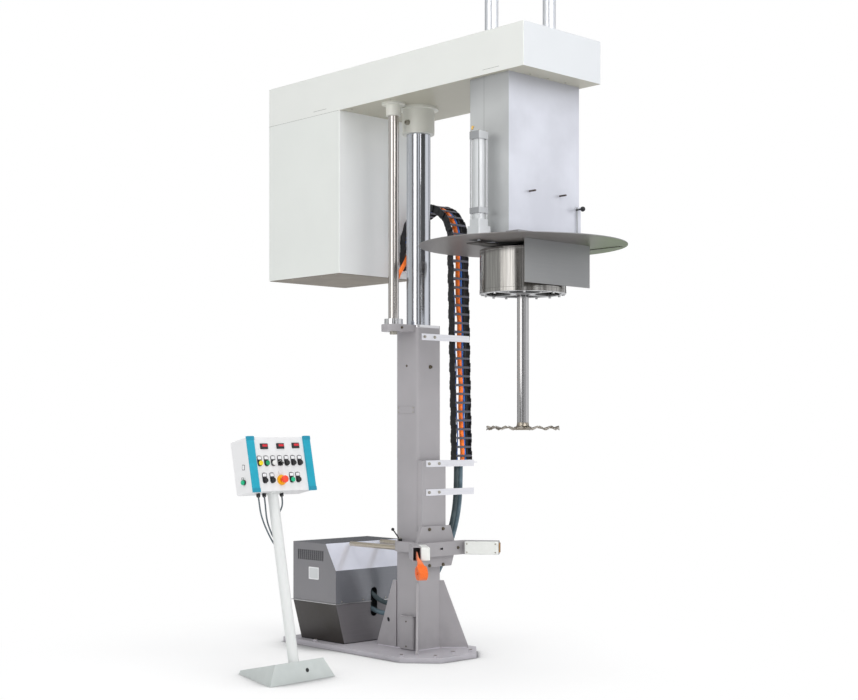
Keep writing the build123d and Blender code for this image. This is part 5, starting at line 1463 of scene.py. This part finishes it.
@dataclass
class VesselClamp:
    """Hexagonal bracket, yoke with its pads, tension strap and lever."""

    yoke_half: float = 0.1975
    yoke_z: float = 0.657
    bar_front: float = -0.200
    tube_x: float = 0.130
    arm_length: float = 0.220
    arm_angle: float = 37.0
    arm_depth: float = 0.052
    low: float = 0.613
    high: float = 0.698
    pad_depth: float = 0.052
    pad_height: float = 0.080
    pad_start: float = 0.014
    pad_corner: float = 0.003
    pad_bevel: float = 0.0045
    strap_width: float = 0.053
    roll_radius: float = 0.045
    roll_z: float = 0.546
    roll_angle: float = -23.5
    roll_shift: float = 0.026
    roll_turns: int = 8
    roll_layer: float = 0.0040
    roll_sides: int = 30
    skin: float = 0.0015
    twist: tuple[tuple[float, float], ...] = ((0.12, 0.024), (0.35, 0.036), (0.6, 0.048), (0.85, 0.053))
    sleeve: Profile = ((0.01504, 0.455), (0.01504, 0.492), (0.0132, 0.4951), (0, 0.4951))
    bore: Profile = ((0.0075, -0.0004), (0.0075, 0.0010), (0.0062, 0.0010), (0.0058, 0.0002), (0, 0.0002))
    nut: Profile = ((0, 0.7143), (0.0095, 0.7143), (0.0110, 0.7168), (0.0080, 0.7205), (0, 0.7215))
    cleat: Slab = (0.012, 0.040, -0.030, 0.030, 0.004)

    def __post_init__(self) -> None:
        """Work out which way the arms lean."""
        self.along = math.sin(math.radians(self.arm_angle))
        self.ahead = math.cos(math.radians(self.arm_angle))

    def build(self) -> None:
        """Dress the nodes and build the pads and the strap."""
        dress(Paints.column, "clamp_bracket")
        dress(Paints.yoke, "clamp_yoke")
        dress(Paints.black, "clamp_lever")
        self._pads()
        self._strap()
        self._tubes()
        self._screws()
        self._ends()

    def _pads(self) -> None:
        """Two bevelled pads with countersunk screws."""
        middle = (self.low + self.high) / 2
        length, rise, cut = self.arm_length - self.pad_start, self.pad_height / 2, self.pad_corner
        bevel, depth, margin = self.pad_bevel, self.pad_depth, 0.014
        outline = [(0, cut - rise), (cut, -rise), (length - cut, -rise), (length, cut - rise),
                   (length, rise - cut), (length - cut, rise), (cut, rise), (0, rise - cut)]
        pads, screws = Stock(), Stock()
        for side in (-1, 1):
            line = Vector((side * self.along, -self.ahead, 0))
            inward = Vector((-side * self.ahead, -self.along, 0))
            base = Vector((side * self.yoke_half, self.bar_front, middle)) + line * self.pad_start
            matrix = axes_at(base, line, UP, inward)
            rings = []
            for inset, level in ((0, 0), (0, depth - bevel), (bevel, depth)):
                rings.append([matrix @ Vector((min(max(x, inset), length - inset),
                                               min(max(z, inset - rise), rise - inset), level))
                              for x, z in outline])
            pads.loft(rings)
            spots = [Vector((x, z, depth)) for x in (margin, length - margin)
                     for z in (margin - rise, rise - margin)]
            screws.screws(Head.PAN, [matrix @ spot for spot in spots], inward, 0.008)
        obj = pads.make("pads", Paints.pad, "clamp", 0.0012, "pad_white")
        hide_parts("clamp_pads")
        screws.make("pad_screws", Paints.zinc, "clamp")

    def _strap(self) -> None:
        """Webbing that leaves the arm, twists and hangs in a roll."""
        line = Vector((-self.along, -self.ahead, 0))
        flat = Vector((-self.ahead, self.along, 0))
        end = (Vector((-self.yoke_half, self.bar_front, 0)) + line * self.arm_length
               + flat * (self.arm_depth / 2))
        turn = math.radians(self.roll_angle)
        axle = Vector((math.cos(turn), math.sin(turn), 0))
        face = axle.cross(UP)
        if face.dot(line) < 0:
            face = -face
        top = self.low + 0.004 + self.strap_width / 2
        hub = end + line * 0.022 + axle * self.roll_shift + Vector((0, 0, self.roll_z))
        stations = [(end + line * place + Vector((0, 0, top)), UP, flat, self.strap_width * 0.94, 0.0026)
                    for place in (-0.055, -0.030, -0.006, 0.012)]
        start = end + line * 0.021 + Vector((0, 0, top - 0.006))
        goal = hub + face * (self.roll_radius - self.skin)
        for share, width in self.twist:
            twist = min(1, share * 1.6)
            stations.append((start.lerp(goal, share), UP.lerp(axle, twist).normalized(),
                             flat.lerp(face, twist).normalized(), width, 0.0028))
        for k in range(self.roll_turns * self.roll_sides):
            angle = 2 * math.pi * k / self.roll_sides
            radius = self.roll_radius - self.skin - self.roll_layer * k / self.roll_sides
            out = face * math.cos(angle) + DOWN * math.sin(angle)
            sway = 0.0012 * math.sin(k * 0.23)
            stations.append((hub + out * radius + axle * sway, axle, out, self.strap_width * 0.96, 0.0030))
        stock = Stock()
        stock.ribbon(stations)
        obj = stock.make("strap_webbing", Paints.strap, "clamp", slot="strap_orange")
        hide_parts("tension_strap")

    def _tubes(self) -> None:
        """Rounded sleeves on the free ends of the yoke's guide tubes."""
        stock = Stock()
        for x in (-self.tube_x, self.tube_x):
            stock.revolve(self.sleeve, Matrix.Translation((x, 0, self.yoke_z)) @ around(-90, "X"))
        stock.make("tube_sleeves", Paints.tubes, "clamp")

    def _screws(self) -> None:
        """Bolts of the bracket and the yoke, and the yoke's bore."""
        stock = Stock()
        stock.screws(Head.HEXAGON, [(x, -0.160, z) for x in (-0.058, 0.058) for z in (0.777, 0.555)],
                     (0, -1, 0), 0.0194)
        stock.make("bracket_bolts", Paints.brown, "root")
        yoke = Stock()
        yoke.screws(Head.HEXAGON, [(x, self.bar_front, self.yoke_z) for x in (-0.1485, 0.1485)],
                    (0, -1, 0), 0.0172)
        yoke.make("yoke_bolts", Paints.brown, "clamp")
        # The bore is a dark disc: painted shade in the hole.
        bore = Stock(Matrix.Translation((0.0113, self.bar_front, self.yoke_z)) @ around(90, "X"))
        bore.revolve(self.bore, Matrix.Identity(4), 24)
        bore.make("yoke_bore", Paints.slot, "clamp")

    def _ends(self) -> None:
        """Nose on the end of the right arm, where the strap hooks on, and the lever's nut."""
        tip = (Vector((self.yoke_half, self.bar_front, 0.6555))
               + Vector((self.along, -self.ahead, 0)) * self.arm_length
               + Vector((self.ahead, self.along, 0)) * (self.arm_depth / 2))
        cleat = Stock(Matrix.Translation(tip) @ around(self.arm_angle - 90, "Z"))
        cleat.plate(*self.cleat, (0.002, 0))
        cleat.make("strap_cleat", Paints.bronze, "clamp", 0.001)
        nut = Stock()
        nut.revolve(self.nut, Matrix.Translation((-self.tube_x, 0.028, 0)), 24)
        nut.make("lever_nut", Paints.zinc, "lever")


@dataclass
class HydraulicUnit:
    """Tray, hood, power pack and the hoses that feed it."""

    half: float = 0.320
    front: float = 0.420
    rear: float = 0.850
    gap_shade_half: float = 0.2512
    waist: float = 0.288
    rim: float = 0.010
    rim_gap: float = 0.0290
    vent_columns: int = 13
    vent_rows: int = 5
    vent_y: tuple[float, float] = (0.540, 0.805)
    vent_z: tuple[float, float] = (0.552, 0.617)
    vent: Slab = (0.0168, 0.0066, -0.0010, 0.0007, 0.0028)
    blank: Slab = (0.100, 0.079, -0.0002, 0.0016, 0.006)
    blank_field: Slab = (0.086, 0.065, 0.0014, 0.0020, 0.004)
    hose: float = 0.030
    supply: tuple[Point, ...] = ((0.260, -0.072, 1.1807), (0.260, -0.072, 1.010), (0.254, -0.056, 0.850),
                                 (0.246, -0.010, 0.700), (0.238, 0.060, 0.564), (0.228, 0.136, 0.442),
                                 (0.192, 0.216, 0.330), (0.125, 0.288, 0.271), (0.053, 0.356, 0.266),
                                 (0.000, 0.424, 0.318), (-0.024, 0.478, 0.378))
    back: tuple[Point, ...] = ((0.298, -0.072, 1.1807), (0.298, -0.072, 1.005), (0.292, -0.054, 0.840),
                               (0.287, -0.004, 0.684), (0.282, 0.072, 0.541), (0.270, 0.152, 0.408),
                               (0.236, 0.190, 0.338), (0.156, 0.243, 0.254), (0.070, 0.322, 0.197),
                               (0.000, 0.424, 0.222), (-0.028, 0.486, 0.266))

    def build(self) -> None:
        """Dress the nodes, add the rim and plate, and lay the hoses."""
        dress(Paints.tray, "hydraulic_tray")
        dress(Paints.hood, "hydraulic_hood")
        dress(Paints.tank, "power_pack")
        self._vents()
        self._rim()
        self._plate()
        Cord("hose_supply", self.supply, self.hose, 1.31, "stiff", Paints.hose_dark, "hose_rubber").build()
        Cord("hose_return", self.back, self.hose, 1.35, "stiff", Paints.hose_light, "hose_rubber").build()

    def _vents(self) -> None:
        """Dark plates in the slanted vent slots of both sides, painted shade in the open slots, and painted
        shade in the gap under the tray.
        """
        (y0, y1), (z0, z1) = self.vent_y, self.vent_z
        # Dark plates in the open vent slots: painted shade.
        stock = Stock()
        for side in (-1, 1):
            turn = axes_at((side * self.half, 0, 0), (0, 1, 0), UP, (side, 0, 0))
            for column in range(self.vent_columns):
                for row in range(self.vent_rows):
                    place = (y0 + (y1 - y0) * (column + 0.5) / self.vent_columns,
                             z0 + (z1 - z0) * (row + 0.5) / self.vent_rows)
                    stock.plate(*self.vent, turn=turn @ flat_at(place, -45))
        stock.make("vent_slots", Paints.slot, "root")
        # Painted shade in the gap under the tray.
        gap_shade = Stock()
        gap_shade.block((-self.gap_shade_half, self.front, 0.0302), (self.gap_shade_half, self.rear, 0.0345))
        gap_shade.make("tray_gap_shade", Paints.slot, "root")

    def _rim(self) -> None:
        """Turned-out lip where the hood sits on the tray."""
        h, front, rear, gap, z = self.half, self.front, self.rear, self.rim_gap, self.waist
        out, lip = h + self.rim, front - self.rim
        stock = Stock()
        for (x0, y0), (x1, y1) in (((-out, lip), (-gap, front)), ((gap, lip), (out, front)),
                                   ((-out, rear), (out, rear + self.rim)), ((-out, front), (-h, rear)),
                                   ((h, front), (out, rear))):
            stock.block((x0, y0, z - 0.0025), (x1, y1, z + 0.0015))
        stock.make("waist_rim", Paints.satin, "root", 0.0006)
        screws = Stock()
        screws.screws(Head.PAN, [(x, front, z + 0.012) for x in (-0.27, -0.09, 0.10, 0.27)], (0, -1, 0), 0.008)
        screws.make("waist_screws", Paints.zinc, "root")

    def _plate(self) -> None:
        """Blank plate on the hood's left side."""
        turn = on_left((-self.half, 0.639, 0.4695))
        stock = Stock()
        stock.plate(*self.blank, turn=turn)
        stock.make("blank_plate_hood", Paints.label, "root")
        inner = Stock()
        inner.plate(*self.blank_field, turn=turn)
        inner.make("blank_plate_field", Paints.anodised, "root")


@dataclass
class ControlPedestal:
    """Wedge foot, leaning post and the control panel with its buttons."""

    origin: tuple[float, float, float] = (-1.183, -0.165, 1.050)
    tilt: float = 12.0
    width: float = 0.446
    height: float = 0.305
    depth: float = 0.145
    rows: tuple[float, float] = (0.157, 0.060)
    first_x: float = -0.149
    spacing: float = 0.047
    low_places: tuple[float, ...] = (-0.128, -0.076, 0.061, 0.106)
    stop_x: float = -0.013
    displays: tuple[tuple[float, float], ...] = ((-0.106, 0.253), (0.008, 0.254), (0.117, 0.256))
    glands: tuple[float, ...] = (-0.132, -0.091, 0.032)
    controls: tuple[tuple[str, Finish], ...] = (
        ("button_yellow", Paints.yellow), ("button_green", Paints.green), ("button_white", Paints.white),
        ("selector_switch", Paints.black), ("button_black_a", Paints.black), ("button_black_b", Paints.black),
        ("button_black_c", Paints.black), ("button_black_d", Paints.black), ("button_black_e", Paints.black),
        ("button_green_low", Paints.bright_green), ("button_black_f", Paints.black))
    switch: int = 3
    foot: tuple[float, float, float] = (-1.183, -0.3315, 0)
    foot_turn: float = 4.3
    backing: Slab = (0.0305, 0.0600, -0.0001, 0.0016, 0.0120)
    holder: Slab = (0.0300, 0.0230, 0.0014, 0.0030, 0.0030)
    insert: Slab = (0.0245, 0.0170, 0.0028, 0.0036, 0.0020)
    stop_holder: Slab = (0.0285, 0.0175, 0.0018, 0.0024, 0.0020)
    strip_end: Slab = (0.0496, 0.0236, 0.0100, 0.0126, 0.0040)
    window: Slab = (0.0345, 0.0125, 0.0058, 0.0066, 0.0012)
    bezel: Slab = (0.0525, 0.0315, -0.0001, 0.0048, 0.003)
    selector_block: Slab = (0.0300, 0.0300, -0.0001, 0.0068, 0.003)
    crown: Profile = ((0.0100, 0.0078), (0.0112, 0.0110), (0.0130, 0.0116), (0.0138, 0.0126), (0.0138, 0.0150),
                      (0.0126, 0.0166), (0.0080, 0.0171), (0, 0.0173))
    stop_disc: Profile = ((0.0100, 0.0074), (0.0280, 0.0074), (0.0294, 0.0060), (0.0294, 0.0003))
    stop_grip: Profile = ((0.0202, 0.0290), (0.0206, 0.0310), (0.0206, 0.0350), (0.0201, 0.0372))
    gland_nut: Profile = ((0.0116, 0.0002), (0.0124, 0.0012), (0.0124, 0.0085), (0.0114, 0.0090))
    gland_dome: Profile = ((0.0114, 0.0088), (0.0114, 0.0150), (0.0104, 0.0195), (0.0078, 0.0232),
                           (0.0046, 0.0240))
    plug: Profile = ((0.0120, -0.0015), (0.0120, 0.0008), (0.0108, 0.0014), (0.0062, 0.0014), (0.0056, 0.0002),
                     (0, 0.0002))
    cable: float = 0.009
    cables: tuple[tuple[str, float, tuple[Point, ...]], ...] = (
        ("panel_cable_left", 0.32, (
            (-1.315, -0.106, 0.979), (-1.312, -0.113, 0.930), (-1.294, -0.112, 0.882), (-1.268, -0.107, 0.836),
            (-1.240, -0.103, 0.792), (-1.218, -0.109, 0.752), (-1.206, -0.132, 0.722))),
        ("panel_cable_middle", 0.277, (
            (-1.274, -0.106, 0.979), (-1.272, -0.109, 0.938), (-1.260, -0.100, 0.897), (-1.242, -0.091, 0.858),
            (-1.223, -0.088, 0.820), (-1.210, -0.097, 0.784), (-1.206, -0.125, 0.758))),
        ("panel_cable_right", 0.204, (
            (-1.151, -0.106, 0.979), (-1.152, -0.098, 0.948), (-1.160, -0.084, 0.920), (-1.174, -0.074, 0.896),
            (-1.190, -0.077, 0.873), (-1.201, -0.095, 0.855), (-1.205, -0.119, 0.848))))

    def __post_init__(self) -> None:
        """Work out the panel's matrix and the controls' places."""
        up, out = math.sin(math.radians(self.tilt)), math.cos(math.radians(self.tilt))
        self.panel = axes_at(self.origin, (1, 0, 0), (0, up, out), (0, -out, up))
        self.places = [(self.first_x + self.spacing * i, self.rows[0]) for i in range(7)]
        self.places += [(x, self.rows[1]) for x in self.low_places]

    def build(self) -> None:
        """Dress the nodes and add labels, windows, glands and cables."""
        dress(Paints.pedestal, "pedestal_base")
        dress(Paints.post, "pedestal_post")
        dress(Paints.panel, "panel_housing")
        dress(Paints.teal, "handle_strips")
        dress(Paints.fitting, "panel_fittings")
        dress(Paints.bright_green, "side_button")
        dress(Paints.red, "estop_button")
        for name, finish in self.controls:
            dress(finish, name)
        self._labels()
        self._windows()
        self._selector()
        self._crowns()
        self._stop()
        self._side()
        self._glands()
        self._plug()
        for x, (name, length, route) in zip(self.glands, self.cables):
            exit_place = tuple(self.panel @ Vector((x, -0.022, -self.depth / 2)))
            Cord(name, (exit_place, *route), self.cable, length, "medium", Paints.cable, "cable_grey").build()

    def _labels(self) -> None:
        """Blank label inserts in their holders, and the ends of the handle strips."""
        labels, backs, cover, caps = (Stock(self.panel) for _ in range(4))
        for x, y in self.places:
            backs.plate(*self.backing, (x, y + 0.0140))
            backs.plate(*self.holder, (x, y + 0.0300))
            labels.plate(*self.insert, (x, y + 0.0305))
        cover.plate(*self.stop_holder, (self.stop_x, self.rows[1] + 0.044))
        cover.make("blank_holder", Paints.panel, "root")
        for side in (-1, 1):
            for y in (0.0065, self.height - 0.0065):
                caps.plate(*self.strip_end, (side * (self.width - 0.049) / 2, y))
        caps.make("strip_ends", Paints.teal_cap, "root")
        backs.make("label_backings", Paints.backing, "root")
        labels.make("label_inserts", Paints.label, "root")

    def _windows(self) -> None:
        """Three display windows in their bezels."""
        windows, bezels = Stock(self.panel), Stock(self.panel)
        for x, y in self.displays:
            windows.plate(*self.window, (x + 0.004, y + 0.0035))
            bezels.plate(*self.bezel, (x, y))
        windows.make("display_windows", Paints.window, "root")
        bezels.make("display_bezels", Paints.fitting, "root", 0.0006)

    def _selector(self) -> None:
        """Frame and scale of the selector switch, and the mark on its knob."""
        place = self.places[self.switch]
        block, mark, scale = (Stock(self.panel) for _ in range(3))
        block.plate(*self.selector_block, place)
        block.make("selector_frame", Paints.fitting, "root", 0.0006)
        mark.prism([(-0.0009, 0.0), (0.0009, 0.0), (0.0009, 0.0085), (-0.0009, 0.0085)], 0.0249, 0.0254,
                   flat_at(place, 45))
        mark.make("selector_mark", Paints.white, "selector_switch_cap")
        for angle in (-50, 0, 50):
            scale.prism([(-0.0035, 0.0122), (0.0035, 0.0122), (0.0035, 0.0138), (-0.0035, 0.0138)],
                        0.0066, 0.0071, flat_at(place, angle))
        scale.make("selector_scale", Paints.white, "root")

    def _crowns(self) -> None:
        """Domed crowns on the push-buttons, wider than their stems."""
        crowned = [(name, finish, self.panel @ flat_at(place))
                   for (name, finish), place in zip(self.controls, self.places)]
        del crowned[self.switch]
        side = self.panel @ Vector((-self.width / 2, 0.062, -0.062))
        crowned.append(("side_button", Paints.bright_green, Matrix.Translation(side) @ around(-90, "Y")))
        for name, finish, matrix in crowned:
            stock = Stock()
            stock.revolve(self.crown, matrix)
            stock.make(f"{name}_crown", finish, f"{name}_cap")

    def _stop(self) -> None:
        """Yellow disc of the emergency stop, and the grip round its red head."""
        place = self.panel @ flat_at((self.stop_x, self.rows[1]))
        disc = Stock()
        disc.revolve(self.stop_disc, place, 48)
        disc.make("stop_disc", Paints.disc_yellow, "root", slot="button_yellow")
        ring = Stock()
        ring.revolve(self.stop_grip, place, 48)
        ring.make("stop_grip", Paints.red, "estop_button_cap")

    def _side(self) -> None:
        """Two blank labels in their frames beside the side button."""
        face = self.origin[0] - self.width / 2
        stock, border = Stock(), Stock()
        for y, z, tall in ((-0.083, 1.181, 0.030), (-0.075, 1.118, 0.013)):
            turn = on_left((face, y, z))
            border.plate(0.022, tall, -0.0002, 0.0012, 0.002, turn=turn)
            stock.plate(0.017, tall - 0.006, 0.0010, 0.0016, 0.001, turn=turn)
        border.make("side_label_frames", Paints.fitting, "root")
        stock.make("side_labels", Paints.label, "root")

    def _glands(self) -> None:
        """Domed cable glands under the panel."""
        stock = Stock()
        for x in self.glands:
            seat = self.panel @ Matrix.Translation((x, 0, -self.depth / 2)) @ around(90, "X")
            stock.revolve(self.gland_nut, seat, 6)
            stock.revolve(self.gland_dome, seat, 28)
        stock.make("cable_glands", Paints.fitting, "root", slot="fitting_black")

    def _plug(self) -> None:
        """Plug in the wedge foot's slanted face."""
        slope = Matrix.Rotation(math.atan2(0.110, 0.030), 4, "X")
        matrix = (Matrix.Translation(self.foot) @ around(self.foot_turn, "Z")
                  @ Matrix.Translation((0.045, 0.0155, 0.057)) @ slope)
        stock = Stock()
        stock.revolve(self.plug, matrix, 28)
        stock.make("foot_plug", Paints.fitting, "root")


def main() -> None:
    """Build the studio and every sub-assembly in order."""
    logging.basicConfig(level=logging.INFO, format="%(name)s: %(message)s")
    bpy.context.scene.view_settings.view_transform = "Standard"
    for part in (Studio(), HydraulicUnit(), ControlPedestal(), ColumnFoot(), LiftingHead(), Mill(),
                 EnergyChain(), VesselClamp()):
        log.info("building %s", type(part).__name__)
        part.build()


if __name__ == "__main__":
    main()
